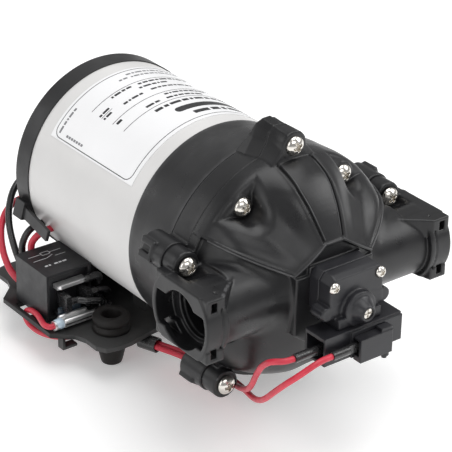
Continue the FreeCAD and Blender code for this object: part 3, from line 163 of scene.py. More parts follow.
M = {
    "can_paint": surface_mat("can_paint", (0.70, 0.692, 0.685), 0.38, var=0.03, var_scale=25, grain=260, bump=0.10,
                             depth=0.00006, coat=0.15),
    "label_film": surface_mat("label_film", (0.88, 0.88, 0.89), 0.36, var=0.015, var_scale=30, grain=500, bump=0.04,
                              depth=0.00003, coat=0.25),
    # The housing plastic's edge colour is a painted highlight on its convex edges.
    "housing_plastic": surface_mat("housing_plastic", (0.010, 0.010, 0.011), 0.34, var=0.22, var_scale=45, grain=1500,
                                   bump=0.5, depth=0.00006, rough_var=0.08, edge=(0.07, 0.07, 0.073),
                                   edge_highlight_at=(0.545, 0.64), round_edge=0.0004, spec=0.45),
    "cap_plastic": surface_mat("cap_plastic", (0.012, 0.012, 0.013), 0.40, var=0.15, var_scale=50, grain=1500, bump=0.2,
                               depth=0.00006, round_edge=0.0006),
    "switch_plastic": surface_mat("switch_plastic", (0.015, 0.015, 0.018), 0.36, var=0.14, var_scale=60, grain=1600,
                                  bump=0.3, depth=0.00005, round_edge=0.0008),
    # The plate's edge colour is a painted highlight along its convex edges.
    "plate_paint": surface_mat("plate_paint", (0.0045, 0.0045, 0.005), 0.40, var=0.2, var_scale=80, grain=700, bump=0.12,
                               depth=0.00006, edge=(0.06, 0.06, 0.06), round_edge=0.0007, spec=0.2),
    "foot_rubber": surface_mat("foot_rubber", (0.008, 0.0065, 0.006), 0.55, var=0.22, var_scale=90, grain=1200, bump=0.35,
                               depth=0.0001, round_edge=0.0008, spec=0.35),
    "relay_plastic": surface_mat("relay_plastic", (0.017, 0.017, 0.019), 0.44, var=0.12, var_scale=80, grain=1800,
                                 bump=0.2, depth=0.00005, round_edge=0.0005),
    "screw_nickel": surface_mat("screw_nickel", (0.74, 0.71, 0.66), 0.17, metal=1.0, var=0.06, var_scale=220, grain=900,
                                bump=0.08, depth=0.00003, rough_var=0.08, round_edge=0.0002),
    "brass": surface_mat("brass", (0.74, 0.62, 0.40), 0.26, metal=1.0, var=0.08, var_scale=200, grain=900, bump=0.1,
                         depth=0.00003, round_edge=0.0002),
    "tinned_metal": surface_mat("tinned_metal", (0.86, 0.86, 0.86), 0.34, metal=0.9, var=0.04, var_scale=120, grain=500,
                                bump=0.05, depth=0.00002, rough_var=0.05, round_edge=0.0002),
    "steel": surface_mat("steel", (0.56, 0.56, 0.57), 0.30, metal=1.0, var=0.06, var_scale=120, grain=900, bump=0.12,
                         depth=0.00003, stretch=(1, 0.08, 1), round_edge=0.0002),
    "lamination_steel": surface_mat("lamination_steel", (0.26, 0.26, 0.28), 0.45, metal=1.0, var=0.10, grain=1500,
                                    bump=0.35, depth=0.0001, stretch=(0.05, 1, 0.05)),
    "magnet": surface_mat("magnet", (0.05, 0.05, 0.055), 0.7, var=0.15, grain=900, bump=0.3),
    "copper": surface_mat("copper", (0.62, 0.28, 0.12), 0.32, metal=1.0, var=0.10, grain=1400, bump=0.4, depth=0.0001,
                          stretch=(0.1, 1, 0.1)),
    "carbon": surface_mat("carbon", (0.02, 0.02, 0.02), 0.6, var=0.2, grain=1500, bump=0.3),
    "alloy": surface_mat("alloy", (0.62, 0.62, 0.63), 0.48, metal=1.0, var=0.06, grain=600, bump=0.3, depth=0.0001),
    "white_plastic": surface_mat("white_plastic", (0.72, 0.72, 0.69), 0.42, var=0.03, grain=1200, bump=0.15),
    "drive_plastic": surface_mat("drive_plastic", (0.36, 0.36, 0.34), 0.45, var=0.05, grain=1200, bump=0.15),
    "black_rubber": surface_mat("black_rubber", (0.016, 0.016, 0.017), 0.65, var=0.2, grain=1200, bump=0.3, spec=0.35),
    "valve_rubber": surface_mat("valve_rubber", (0.05, 0.05, 0.055), 0.6, var=0.15, grain=1200, bump=0.3, spec=0.35),
    "red_insulation": surface_mat("red_insulation", (0.58, 0.030, 0.058), 0.42, var=0.12, var_scale=120, grain=1000,
                                  bump=0.12, depth=0.00005, coat=0.08, round_edge=0.0),
    "black_insulation": surface_mat("black_insulation", (0.012, 0.012, 0.013), 0.30, var=0.2, var_scale=120, grain=1000,
                                    bump=0.12, depth=0.00005, coat=0.25, round_edge=0.0),
    "sleeve_plastic": surface_mat("sleeve_plastic", (0.018, 0.018, 0.019), 0.24, var=0.2, var_scale=200, grain=500,
                                  bump=0.5, depth=0.0003, coat=0.4, round_edge=0.0003),
}
# A lighter copy of the housing plastic for the beads: painted highlight along the lip, ridge and groove edges.
M["edge_highlight_plastic"] = surface_mat("edge_highlight_plastic", (0.045, 0.045, 0.047), 0.38, var=0.3, var_scale=160, grain=1500, bump=0.2,
                                depth=0.00005, round_edge=0.0, spec=0.5)
label_ink = surface_mat("label_ink", (0.020, 0.020, 0.022), 0.42, var=0.1, var_scale=200, grain=900, bump=0.05,
                        round_edge=0.0)
grey_ink = surface_mat("grey_ink", (0.20, 0.20, 0.21), 0.45, var=0.1, var_scale=200, grain=900, bump=0.05,
                       round_edge=0.0)
white_ink = surface_mat("white_ink", (0.62, 0.63, 0.64), 0.5, var=0.06, var_scale=300, grain=900, bump=0.05,
                        round_edge=0.0)
clear_sleeve = surface_mat("clear_sleeve", (0.50, 0.62, 0.72), 0.25, var=0.12, var_scale=300, grain=600, bump=0.3,
                           depth=0.0001, coat=0.4)
film_sleeve = surface_mat("film_sleeve", (0.040, 0.058, 0.078), 0.22, var=0.35, var_scale=260, grain=500, bump=0.4,
                          depth=0.0002, coat=0.5)

slot_of = {}
for row in frame["record"].get("materials", []):
    for n in row.get("nodes", []) or []:
        slot_of[n] = row["slot"]
fallback = {
    "motor_can": "can_paint", "motor_label": "label_film", "front_end_bell": "alloy", "rear_end_bell": "alloy",
    "shaft_bearings": "steel", "rear_cap": "cap_plastic", "field_magnets": "magnet", "motor_shaft": "steel",
    "armature_core": "lamination_steel", "armature_windings": "copper", "commutator": "copper",
    "brush_plate": "drive_plastic", "brush_right": "carbon", "brush_left": "carbon", "brush_spring_right": "steel",
    "brush_spring_left": "steel", "motor_bolts": "steel", "front_housing": "housing_plastic",
    "drive_housing": "housing_plastic", "drive_cam": "alloy", "cam_bearing": "steel", "wobble_plate": "drive_plastic",
    "pump_pistons": "white_plastic", "diaphragm": "black_rubber", "valve_plate": "white_plastic",
    "inlet_valves": "valve_rubber", "outlet_valve": "valve_rubber", "head_seals": "valve_rubber",
    "pump_head": "housing_plastic", "head_screws": "screw_nickel", "switch_base": "switch_plastic",
    "switch_diaphragm": "valve_rubber", "switch_cover": "switch_plastic", "cover_screws": "screw_nickel",
    "switch_plunger": "white_plastic", "switch_spring": "steel", "spring_seat": "brass", "adjusting_screw": "screw_nickel",
    "switch_case": "switch_plastic", "switch_button": "carbon", "snap_switch": "carbon", "plug_shell": "switch_plastic",
    "base_plate": "plate_paint", "rubber_feet": "foot_rubber", "saddle_screws": "steel", "relay_case": "relay_plastic",
    "relay_base": "relay_plastic", "relay_coil": "copper", "relay_armature": "steel",
    "relay_receptacles": "tinned_metal", "motor_lead_black": "black_insulation", "motor_lead_red": "red_insulation",
    "loop_lead_black": "black_insulation", "loop_lead_red": "red_insulation", "ground_lead": "black_insulation",
    "lead_splice": "sleeve_plastic", "switch_lead_rear": "red_insulation", "switch_lead_front": "red_insulation",
    "lead_sleeve": "sleeve_plastic", "switch_spades": "sleeve_plastic",
}
for name, o in N.items():
    m = M[slot_of.get(name) or fallback[name]]
    if not o.data.materials:
        o.data.materials.append(m)
    for s in o.material_slots:
        s.material = m
    slot_of.get(name) or fallback[name]


# ---------------------------------------------------------------- distance fields and their surfaces
def smin(a, b, k):
    h = np.maximum(k - np.abs(a - b), 0) / k
    return np.minimum(a, b) - h * h * k * 0.25


def smax(a, b, k):
    return -smin(-a, -b, k)


def poly_field(px, py, pts):
    """Signed distance to a polygon, negative inside."""
    d = np.full(np.shape(px), 1e9, np.float32)
    s = np.ones(np.shape(px), np.float32)
    for i in range(len(pts)):
        ax, ay = pts[i]
        bx, by = pts[i - 1]
        ex, ey = bx - ax, by - ay
        wx, wy = px - ax, py - ay
        q = np.clip((wx * ex + wy * ey) / (ex * ex + ey * ey), 0, 1)
        qx, qy = wx - ex * q, wy - ey * q
        d = np.minimum(d, qx * qx + qy * qy)
        c1, c2, c3 = py >= ay, py < by, ex * wy > ey * wx
        s = np.where((c1 & c2 & c3) | (~c1 & ~c2 & ~c3), -s, s)
    return s * np.sqrt(d)


class Table:
    """A profile's field in the plane of (r, y), read by interpolation."""

    def __init__(self, pts, r1=80.0, y0=-100.0, y1=-20.0, h=0.25, soft=0.0):
        self.y0, self.h = y0, h
        r = np.arange(0, r1, h, dtype=np.float32)
        y = np.arange(y0, y1, h, dtype=np.float32)
        R, Y = np.meshgrid(r, y, indexing="ij")
        both = [(a, b) for a, b in pts]
        mirror = [(-a, b) for a, b in reversed(pts) if a > 0.001]
        self.t = poly_field(R, Y, both + mirror) - soft

    def __call__(self, r, y):
        i = np.clip(r / self.h, 0, self.t.shape[0] - 1.001)
        j = np.clip((y - self.y0) / self.h, 0, self.t.shape[1] - 1.001)
        i0, j0 = i.astype(np.int32), j.astype(np.int32)
        a, b = i - i0, j - j0
        t = self.t
        return ((t[i0, j0] * (1 - a) + t[i0 + 1, j0] * a) * (1 - b)
                + (t[i0, j0 + 1] * (1 - a) + t[i0 + 1, j0 + 1] * a) * b)


def spline(pts, n):
    """Points along a smooth curve through pts."""
    p = np.array([pts[0]] + list(pts) + [pts[-1]], float)
    out = []
    for i in range(1, len(p) - 2):
        for k in range(n):
            u = k / n
            a, b, c, d = p[i - 1], p[i], p[i + 1], p[i + 2]
            out.append(tuple(0.5 * (2 * b + (c - a) * u + (2 * a - 5 * b + 4 * c - d) * u * u
                                    + (3 * b - a - 3 * c + d) * u ** 3)))
    out.append(tuple(p[-1]))
    return out


def box_field(X, Y, Z, lo, hi, r=0.4):
    c = [(a + b) / 2 for a, b in zip(lo, hi)]
    e = [(b - a) / 2 - r for a, b in zip(lo, hi)]
    q = [np.abs(v - cc) - ee for v, cc, ee in zip((X, Y, Z), c, e)]
    out = np.sqrt(np.maximum(q[0], 0) ** 2 + np.maximum(q[1], 0) ** 2 + np.maximum(q[2], 0) ** 2)
    return out + np.minimum(np.maximum(q[0], np.maximum(q[1], q[2])), 0) - r


def cyl_field(u, v, w, r, w0, w1, e=0.4):
    """A cylinder about the w direction between w0 and w1; u and v are measured from its axis."""
    a = np.sqrt(u * u + v * v) - r
    b = np.abs(w - (w0 + w1) / 2) - (w1 - w0) / 2
    return smax(a, b, e)


def surface(f, lo, hi, h, steps=3):
    """Quads on the zero of f, in a box."""
    lo = np.array(lo, np.float32)
    n = (np.ceil((np.array(hi) - lo) / h)).astype(int) + 1
    ax = [lo[i] + h * np.arange(n[i], dtype=np.float32) for i in range(3)]
    D = np.empty(tuple(n), np.float32)
    part = max(1, int(1.5e6 // (n[1] * n[2])))
    for i in range(0, n[0], part):
        X, Y, Z = np.meshgrid(ax[0][i:i + part], ax[1], ax[2], indexing="ij")
        D[i:i + part] = f(X, Y, Z)
    for i in range(3):
        for k in (0, -1):
            rim = [slice(None)] * 3
            rim[i] = k
            D[tuple(rim)] = np.where(D[tuple(rim)] < 0, 0.2 * h, D[tuple(rim)])
    S = D < 0
    count = np.zeros(tuple(n - 1), np.int8)
    for a in (0, 1):
        for b in (0, 1):
            for c in (0, 1):
                count += S[a:n[0] - 1 + a, b:n[1] - 1 + b, c:n[2] - 1 + c]
    act = (count > 0) & (count < 8)
    index = np.full(act.shape, -1, np.int64)
    I = np.argwhere(act)
    index[act] = np.arange(len(I))
    acc = np.zeros((len(I), 3))
    cnt = np.zeros(len(I))
    corners = [(a, b, c) for a in (0, 1) for b in (0, 1) for c in (0, 1)]
    for p in corners:
        for axis in range(3):
            if p[axis]:
                continue
            q = list(p)
            q[axis] = 1
            da = D[I[:, 0] + p[0], I[:, 1] + p[1], I[:, 2] + p[2]]
            db = D[I[:, 0] + q[0], I[:, 1] + q[1], I[:, 2] + q[2]]
            m = (da < 0) != (db < 0)
            t = da[m] / (da[m] - db[m])
            pos = np.repeat(np.array([p], float), m.sum(), 0)
            pos[:, axis] += t
            acc[m] += pos
            cnt[m] += 1
    P = lo + h * (I + acc / cnt[:, None])
    faces = []
    for axis in range(3):
        u, v = (axis + 1) % 3, (axis + 2) % 3
        sl0 = [slice(None)] * 3
        sl1 = [slice(None)] * 3
        sl0[axis], sl1[axis] = slice(0, n[axis] - 1), slice(1, n[axis])
        for k in (u, v):
            sl0[k] = sl1[k] = slice(1, n[k] - 1)
        a, b = S[tuple(sl0)], S[tuple(sl1)]
        for flip, mask in ((False, a & ~b), (True, ~a & b)):
            g = np.argwhere(mask)
            off = np.zeros(3, int)
            off[u], off[v] = 1, 1
            g = g + off
            du, dv = np.zeros(3, int), np.zeros(3, int)
            du[u], dv[v] = 1, 1
            quad = [g - du - dv, g - dv, g, g - du]
            ids = np.stack([index[q[:, 0], q[:, 1], q[:, 2]] for q in quad], 1)
            faces.append(ids[:, ::-1] if flip else ids)
    F = np.concatenate(faces)
    F = F[(F >= 0).all(1)]
    home = P.copy()
    e = 0.15 * h
    for _ in range(steps):
        x, y, z = (P[:, i].astype(np.float32) for i in range(3))
        d = f(x, y, z)
        g = np.stack([(f(x + e, y, z) - f(x - e, y, z)), (f(x, y + e, z) - f(x, y - e, z)),
                      (f(x, y, z + e) - f(x, y, z - e))], 1) / (2 * e)
        k = np.clip(d / np.maximum((g ** 2).sum(1), 0.1), -0.4 * h, 0.4 * h)
        P = P - g * k[:, None]
        P = home + np.clip(P - home, -0.6 * h, 0.6 * h)
    return P, F


def mesh_object(name, P, F, material, body="pump", smooth=True, angle=None):
    """P in motor-frame millimetres."""
    me = bpy.data.meshes.new(name)
    Q = np.asarray(P, float) / 1000
    Q = Q + np.array([0, YOFF / 1000, ZOFF / 1000])
    F = np.asarray(F)
    me.vertices.add(len(Q))
    me.vertices.foreach_set("co", Q.astype(np.float32).ravel())
    k = F.shape[1]
    me.loops.add(len(F) * k)
    me.loops.foreach_set("vertex_index", F.astype(np.int32).ravel())
    me.polygons.add(len(F))
    me.polygons.foreach_set("loop_start", np.arange(0, len(F) * k, k, dtype=np.int32))
    me.update(calc_edges=True)
    me.validate()
    me.polygons.foreach_set("use_smooth", [smooth] * len(me.polygons))
    if angle:
        me.set_sharp_from_angle(angle=math.radians(angle))
    me.materials.append(material)
    o = bpy.data.objects.new(name, me)
    bpy.context.scene.collection.objects.link(o)
    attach(o, body)
    return o


def five(r, start):
    return [(r * math.cos(math.radians(start + 72 * i)), r * math.sin(math.radians(start + 72 * i))) for i in range(5)]


# ---------------------------------------------------------------- pump head
dome_curve = spline([(55.3, -47.0), (54.5, -53.2), (51.6, -62), (47.0, -69.1), (38.1, -76.7), (26.2, -83.4), (22.6, -84.6)], 5)
dome = Table([(0, -44.4), (55.3, -44.4)] + dome_curve + [(0, -84.6)])
chord = Table([(0, -44.4), (55.3, -44.4)] + spline([(55.3, -47.0), (54.4, -53.4), (49.4, -60.4), (43.0, -67.2), (35.0, -75.0),
                                                    (27.0, -82.2), (22.6, -84.6)], 5) + [(0, -84.6)])
bowl_curve = spline([(53.2, -50.2), (52.0, -55.0), (48.6, -62.5), (43.4, -69.3), (34.6, -75.6), (24.6, -80.6), (21.5, -81.8)], 5)
bowl = Table([(0, -44.4), (55.3, -44.4), (55.3, -50.0)] + bowl_curve + [(0, -81.8)])
PY, PZ = -64.6, 2.5
outline = [(-4.8, 25.7), (4.8, 25.7), (21.7, 15.0), (21.7, -14.0), (12, -21), (-12, -21), (-21.7, -14), (-21.7, 15.0)]
slope = 0.508
norm = 1 / math.sqrt(1 + slope * slope)
rail_top = [(68.3, -83.2), (68.3, -46.2), (51.0, -46.2), (50.4, -61.0), (46.6, -73.0), (55.0, -79.6), (59.0, -83.2)]
rail_low = [(59.0, -83.2), (68.3, -83.2), (68.3, -46.2), (57.0, -46.2), (56.0, -70.0)]
outer, inner = five(60.3, 90), five(47.9, 126)


def segment(px, py, a, b):
    ex, ey = b[0] - a[0], b[1] - a[1]
    wx, wy = px - a[0], py - a[1]
    q = np.clip((wx * ex + wy * ey) / (ex * ex + ey * ey), 0, 1)
    return np.sqrt((wx - ex * q) ** 2 + (wy - ey * q) ** 2)


def slab(poly, X, Y, Z, z0, z1, e=0.7):
    return smax(poly, np.abs(Z - (z0 + z1) / 2) - (z1 - z0) / 2, e)


def profile_field(ax, Z, u, back, fore):
    """Inside of a convex profile that changes evenly from back (u = 0) to fore (u = 1)."""
    d = np.full(np.shape(ax), -50.0, np.float32)
    for i in range(len(back) - 1):
        x0 = back[i][0] + (fore[i][0] - back[i][0]) * u
        z0 = back[i][1] + (fore[i][1] - back[i][1]) * u
        x1 = back[i + 1][0] + (fore[i + 1][0] - back[i + 1][0]) * u
        z1 = back[i + 1][1] + (fore[i + 1][1] - back[i + 1][1]) * u
        nx, nz = z0 - z1, x1 - x0
        n = np.sqrt(nx * nx + nz * nz) + 1e-6
        d = smax(d, ((ax - x0) * nx + (Z - z0) * nz) / n, 0.3)
    return d


def block_field(X, Y, Z):
    """The faceted block round the top screw, over the drive housing and the head."""
    u = np.clip((-36.8 - Y) / 17.4, 0, 1)
    ax = np.abs(X + 1.9 * (1 - u))
    crest = profile_field(ax, Z, u, [(0.0, 68.3), (2.2, 68.3), (5.7, 66.0), (7.5, 60.4), (9.0, 44.0)],
                          [(0.0, 65.8), (3.8, 65.8), (5.2, 63.0), (6.6, 59.0), (8.4, 44.0)])
    foot = profile_field(ax, Z, u, [(0.0, 61.6), (6.8, 61.6), (15.0, 48.4), (15.4, 44.0)],
                         [(0.0, 60.2), (5.9, 60.2), (14.4, 50.4), (14.8, 44.0)])
    d = smin(crest, foot, 0.3)
    d = smax(d, (Y + 36.8 - (68.3 - Z) * 0.39) * 0.93, 0.5)
    d = smax(d, -54.25 - Y, 0.5)
    groove = smax(smax(np.abs(X - 1.6) - 1.3, 66.9 - Z, 0.2), np.abs(Y + 40.6) - 4.2, 0.3)
    d = smax(d, -groove, 0.3)
    return smax(d, 44.0 - Z, 0.5)


def head_field(X, Y, Z):
    ax = np.abs(X)
    r = np.sqrt(X * X + Z * Z)
    full = dome(r, Y)
    s = ((Z - 15) - slope * (ax - 21.7)) * norm       # above the lip line
    # a petal is flatter than the dome between its groove and its lip
    turn = np.clip(np.abs(np.degrees(np.arctan2(Z, ax)) - 55.0) / 24.0, 0, 1)
    w = 0.5 + 0.5 * np.cos(math.pi * np.clip(turn * 1.25 - 0.25, 0, 1))
    petal = full + (chord(r, Y) - full) * w
    up = smax(petal, -s, 1.0)
    # centre band between the two grooves
    g = np.interp(r, [22, 26.9, 32.3, 37.8, 42.2, 46.8, 54.3], [4.6, 5.0, 6.1, 7.1, 7.8, 8.6, 8.9]).astype(np.float32)
    off = ax - g
    front = np.clip((Z - 24) / 2, 0, 1) * np.clip((-Y - 49) / 3, 0, 1)
    up = up + front * (1.35 * np.exp(-((off - 0.1) / 0.55) ** 2) - 0.30 * np.exp(-((off - 1.5) / 0.8) ** 2)
                       - 0.18 * np.clip(-off / 0.8, 0, 1))
    # the petal falls away towards its lip
    fall = np.clip((7.0 - s) / 7.0, 0, 1)
    side = np.clip((ax - 23) / 8, 0, 1) * np.clip((-Y - 52) / 6, 0, 1)
    up = up + 1.0 * side * fall * fall * np.clip(s / 1.2, 0, 1)
    d = smin(up, smax(bowl(r, Y), s - 0.6, 0.6), 0.5)
    # raised lip along the petal's lower edge and round the platform
    lip = smax(smax(full - 0.10, np.abs(s - 0.75) - 0.75, 0.4), 21.0 - ax, 0.4)
    d = smin(d, lip, 0.4)
    edge = np.minimum(segment(ax, Z, (21.7, 15.0), (4.8, 25.7)), segment(ax, Z, (4.8, 25.7), (0, 25.7)))
    ridge = smax(smax(full - 0.45, edge - 0.7, 0.4), -Y - 85.3, 0.4)
    d = smin(d, ridge, 0.4)
    # sunk platform with the pad that carries the switch
    plat = poly_field(ax * np.sign(X + 1e-6), Z, outline)
    sunk = smax(plat + 0.8, Y + 83.2, 0.5)
    d = smax(d, -sunk, 0.5)
    low = smax(plat, np.abs(Y + 80) - 4.9, 0.8)
    low = smax(low, Z - 14, 0.6)
    d = smin(d, low, 0.8)
    pad = box_field(X, Y, Z, (-14.4, -85.04, -3.4), (14.4, -75, 18.0), 0.5)
    d = smin(d, pad, 0.5)
    # port tubes
    ty, tz = Y - PY, Z - PZ
    rt = np.sqrt(ty * ty + tz * tz)
    tube = smax(rt - 17.5, ax - 62.5, 0.8)
    d = smin(d, tube, 3.2)
    # rim flange and the screw bosses on it
    for (x, z) in outer:
        if z > 55:
            d = smin(d, block_field(X, Y, Z), 0.7)
            d = smin(d, cyl_field(X - x, Z - z, Y, 6.7, -54.25, -47.0, 0.6), 0.5)
        else:
            d = smin(d, cyl_field(X - x, Z - z, Y, 6.7, -54.2, -44.4, 0.7), 1.6)
    # inner screws: wedge-shaped recesses that open towards the rim
    for i, (x, z) in enumerate(inner):
        a = math.atan2(z, x)
        u = X * math.cos(a) + Z * math.sin(a)
        v = np.abs(-X * math.sin(a) + Z * math.cos(a))
        deep = np.clip(-54.4 - Y, 0, 12)
        c = np.sqrt((u - 48.3) ** 2 + v * v) - 5.2 - 0.04 * deep
        if abs(z + 14.8) < 1:
            hole = smax(c, Y + 54.4, 0.5)
            hole = smax(hole, np.abs(Z + 24.0) - 12.0, 0.5)
            d = smax(d, -hole, 0.8)
            continue
        wedge = smax((v - 1.6 - 1.12 * (u - 44.2)) / 1.5, 44.4 - u, 2.5)
        hole = smin(c, wedge, 2.5)
        hole = smax(hole, Y + 54.4, 0.5)
        hole = smax(hole, 38 - r, 0.5)
        d = smax(d, -hole, 3.2)
        b = cyl_field(X - x, Z - z, Y, 5.6, -54.35, -44.4, 0.5)
        d = smin(d, b, 0.6)
    # shelves, rails and collars at both ports
    top = slab(poly_field(ax, Y, rail_top), ax, Y, Z, 9.4, 18.0)
    bot = slab(poly_field(ax, Y, rail_low), ax, Y, Z, -13.0, -7.0)
    d = smin(d, top, 0.6)
    d = smin(d, bot, 0.6)
    collar = smax(rt - 20.3, np.abs(ax - 63.2) - 5.8, 0.6)
    collar = smax(collar, np.abs(tz) - 15.5, 0.6)
    d = smin(d, collar, 0.5)
    # the shelf is flat on top
    flat = smax(smax(18.0 - Z, 49.5 - ax, 0.8), Y + 54.2, 0.4)
    d = smax(d, -flat, 0.6)
    # clearing over the screw heads; over the shelves its floor runs up to their tops
    for (x, z) in outer:
        if z > 55:
            continue
        c = smax(np.sqrt((X - x) ** 2 + (Z - z) ** 2) - 5.6, Y + 54.2, 0.4)
        if 0 < z:
            c = smax(c, 14.1 + np.clip(-57.9 - Y, 0, 30) * 0.62 - Z, 1.2)
        d = smax(d, -c, 2.0 if 0 < z else 0.6)
    # square clip slots through the rails
    for zc in (13.8, -8.8):
        q = smax(np.abs(ax - 64.3) - 1.5, np.abs(Z - zc) - 2.2, 0.3)
        d = smax(d, -q, 0.3)
    # mouth, counterbore, bore and passage
    mouth = smax(smax(rt - 17.9, np.abs(tz + 1.3) - 8.2, 0.6), 59.6 - ax, 0.4)
    d = smax(d, -mouth, 0.4)
    bite = smax(smax(rt - 14.8, tz, 0.6), 59.6 - ax, 0.4)
    d = smax(d, -bite, 0.4)
    bore = smax(rt - 12.0, 43.0 - ax, 0.4)
    bore = smin(bore, smax(rt - 8.0, 35.5 - ax, 0.4), 0.2)
    bore = smin(bore, smax(rt - 12.5, np.abs(ax - 58.8) - 1.4, 0.3), 0.2)
    bore = smin(bore, smax(rt - 12.5, np.abs(ax - 51.6) - 0.9, 0.3), 0.2)
    d = smax(d, -bore, 0.4)
    # line between the collar and the tube
    ring = np.sqrt((ax - 60.4) ** 2 + (rt - 20.3) ** 2) - 0.45
    d = smax(d, -ring, 0.3)
    # the head is hollow behind its rim, so it ends at the seam
    return smax(d, Y + 44.4, 0.3)


PITCH = 0.55
P, F = surface(head_field, (-70, -86.6, -57.5), (70, -43.6, 68.6), PITCH)
head = mesh_object("pump_head_shell", P, F, M["housing_plastic"])
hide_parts("pump_head")


# ---------------------------------------------------------------- drive housing
def drive_field(X, Y, Z):
    r = np.sqrt(X * X + Z * Z)
    d = smax(r - 55.3 - (Y + 44.97) * -0.054, 44.1 - r, 0.4)
    d = smax(d, np.abs(Y + 38.49) - 6.46, 0.5)
    for (x, z) in outer:
        if z > 55:
            d = smin(d, smax(block_field(X, Y, Z), -44.6 - Y, 0.4), 0.7)
            continue
        a = math.atan2(z, x)
        u = X * math.cos(a) + Z * math.sin(a)
        v = -X * math.sin(a) + Z * math.cos(a)
        boss = cyl_field(u - 60.3, v, Y, 7.5, -44.97, -29.27, 0.5)
        web = box_field(u, Y, v, (49.4, -44.95, -6.2), (61.4, -32.07, 6.2), 0.5)
        ear = box_field(u, Y, v, (58.0, -38.6, -4.8), (68.3, -29.6, 4.8), 0.4)
        slot = box_field(u, Y, v, (66.4, -36.5, -1.7), (72.0, -26.5, 1.7), 0.2)
        b = smin(smin(boss, web, 1.0), ear, 0.6)
        d = smin(d, smax(b, -slot, 0.3), 1.2)
    return smax(d, -44.95 - Y, 0.2)


P, F = surface(drive_field, (-70, -45.9, -70), (70, -28.4, 70), PITCH)
drive = mesh_object("drive_housing_shell", P, F, M["housing_plastic"])
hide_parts("drive_housing")


# ---------------------------------------------------------------- thin moulded strips and tubes along a path
def tube_mesh(pts, radius, n=10):
    """Closed tube along pts; radius is one number or one per point."""
    p = np.array(pts, float)
    rad = np.broadcast_to(np.asarray(radius, float), (len(p),))
    t = np.gradient(p, axis=0)
    t /= np.linalg.norm(t, axis=1)[:, None]
    u = np.cross(t[0], [0, 0, 1.0])
    if np.linalg.norm(u) < 0.1:
        u = np.cross(t[0], [0, 1.0, 0])
    P, F = [], []
    for i in range(len(p)):
        u = u - t[i] * np.dot(u, t[i])
        u /= np.linalg.norm(u)
        v = np.cross(t[i], u)
        for k in range(n):
            a = 2 * math.pi * k / n
            P.append(p[i] + rad[i] * (u * math.cos(a) + v * math.sin(a)))
    for i in range(len(p) - 1):
        for k in range(n):
            j = (k + 1) % n
            F.append((i * n + k, i * n + j, (i + 1) * n + j, (i + 1) * n + k))
    a, b = len(P), len(P) + 1
    P += [p[0], p[-1]]
    e = (len(p) - 1) * n
    for k in range(0, n, 2):
        F.append((a, (k + 2) % n, k + 1, k))
        F.append((b, e + k, e + k + 1, e + (k + 2) % n))
    return np.array(P), np.array(F)


dome_r = np.array([q[0] for q in dome_curve][::-1])
dome_y = np.array([q[1] for q in dome_curve][::-1])


def on_dome(x, z, lift=0.0):
    r = math.hypot(x, z)
    y = float(np.interp(r, dome_r, dome_y))
    dy = float(np.interp(r + 0.5, dome_r, dome_y) - np.interp(r - 0.5, dome_r, dome_y))
    k = math.hypot(1, dy)
    nr, ny = dy / k, -1 / k
    return (x + lift * nr * x / r, y + lift * ny, z + lift * nr * z / r)


def strips(name, paths, radius, material, n=8):
    Ps, Fs, k = [], [], 0
    for path in paths:
        P, F = tube_mesh(path, radius, n)
        Ps.append(P)
        Fs.append(F + k)
        k += len(P)
    return mesh_object(name, np.concatenate(Ps), np.concatenate(Fs), material, "pump")


def between(a, b, n):
    return [(a[0] + (b[0] - a[0]) * i / n, a[1] + (b[1] - a[1]) * i / n) for i in range(n + 1)]


rim_paths = []
for side in (-1, 1):
    lip_line = [(side * x, 15 + slope * (x - 21.7) + 0.1) for x in np.linspace(21.9, 46.6, 40)]
    rim_paths.append([on_dome(x, z, 0.12) for (x, z) in lip_line])
    ridge_line = between((side * 21.9, 15.0), (side * 4.9, 25.8), 24)
    rim_paths.append([on_dome(x, z, 0.30) for (x, z) in ridge_line])
rim_paths.append([on_dome(x, z, 0.30) for (x, z) in between((-4.9, 25.8), (4.9, 25.8), 8)])
# The lip and ridge beads use the lighter bead plastic, a painted highlight along those edges.
strips("petal_beads", rim_paths, 0.42, M["edge_highlight_plastic"])
band_paths = []
for side in (-1, 1):
    line = []
    for rr in np.linspace(27.5, 53.5, 36):
        g = float(np.interp(rr, [22, 26.9, 32.3, 37.8, 42.2, 46.8, 54.3], [4.6, 5.0, 6.1, 7.1, 7.8, 8.6, 8.9])) - 0.75
        line.append(on_dome(side * g, math.sqrt(rr * rr - g * g), 0.02))
    band_paths.append(line)
# The groove beads use the lighter bead plastic, a painted highlight along the band's edges.
strips("band_beads", band_paths, 0.30, M["edge_highlight_plastic"])


# ---------------------------------------------------------------- screws
def screw_mesh(R, H, pitch):
    """Pan head with a cross recess, facing -Y, underside at y = 0."""
    rs = (R * R + H * H) / (2 * H) * 1.12

    def f(X, Y, Z):
        r = np.sqrt(X * X + Z * Z)
        ball = np.sqrt(r * r + (Y + (H - rs)) ** 2) - rs
        d = smax(ball, r - R, R * 0.09)
        d = smax(d, Y, 0.15)
        w = R * 0.13
        deep = Y + H * 0.25
        taper = np.clip((-Y - H * 0.25) / H, 0, 1) * R * 0.12
        c1 = smax(np.abs(X) - w - taper * 0.3, np.abs(Z) - R * 0.40 - taper * 1.6, 0.15)
        c2 = smax(np.abs(Z) - w - taper * 0.3, np.abs(X) - R * 0.40 - taper * 1.6, 0.15)
        core = r - R * 0.24 - taper * 0.6
        cross = smin(smin(c1, c2, 0.25), core, 0.25)
        return smax(d, -smax(cross, deep, 0.15), 0.18)

    return surface(f, (-R - 1, -H - 1, -R - 1), (R + 1, 0.8, R + 1), pitch)


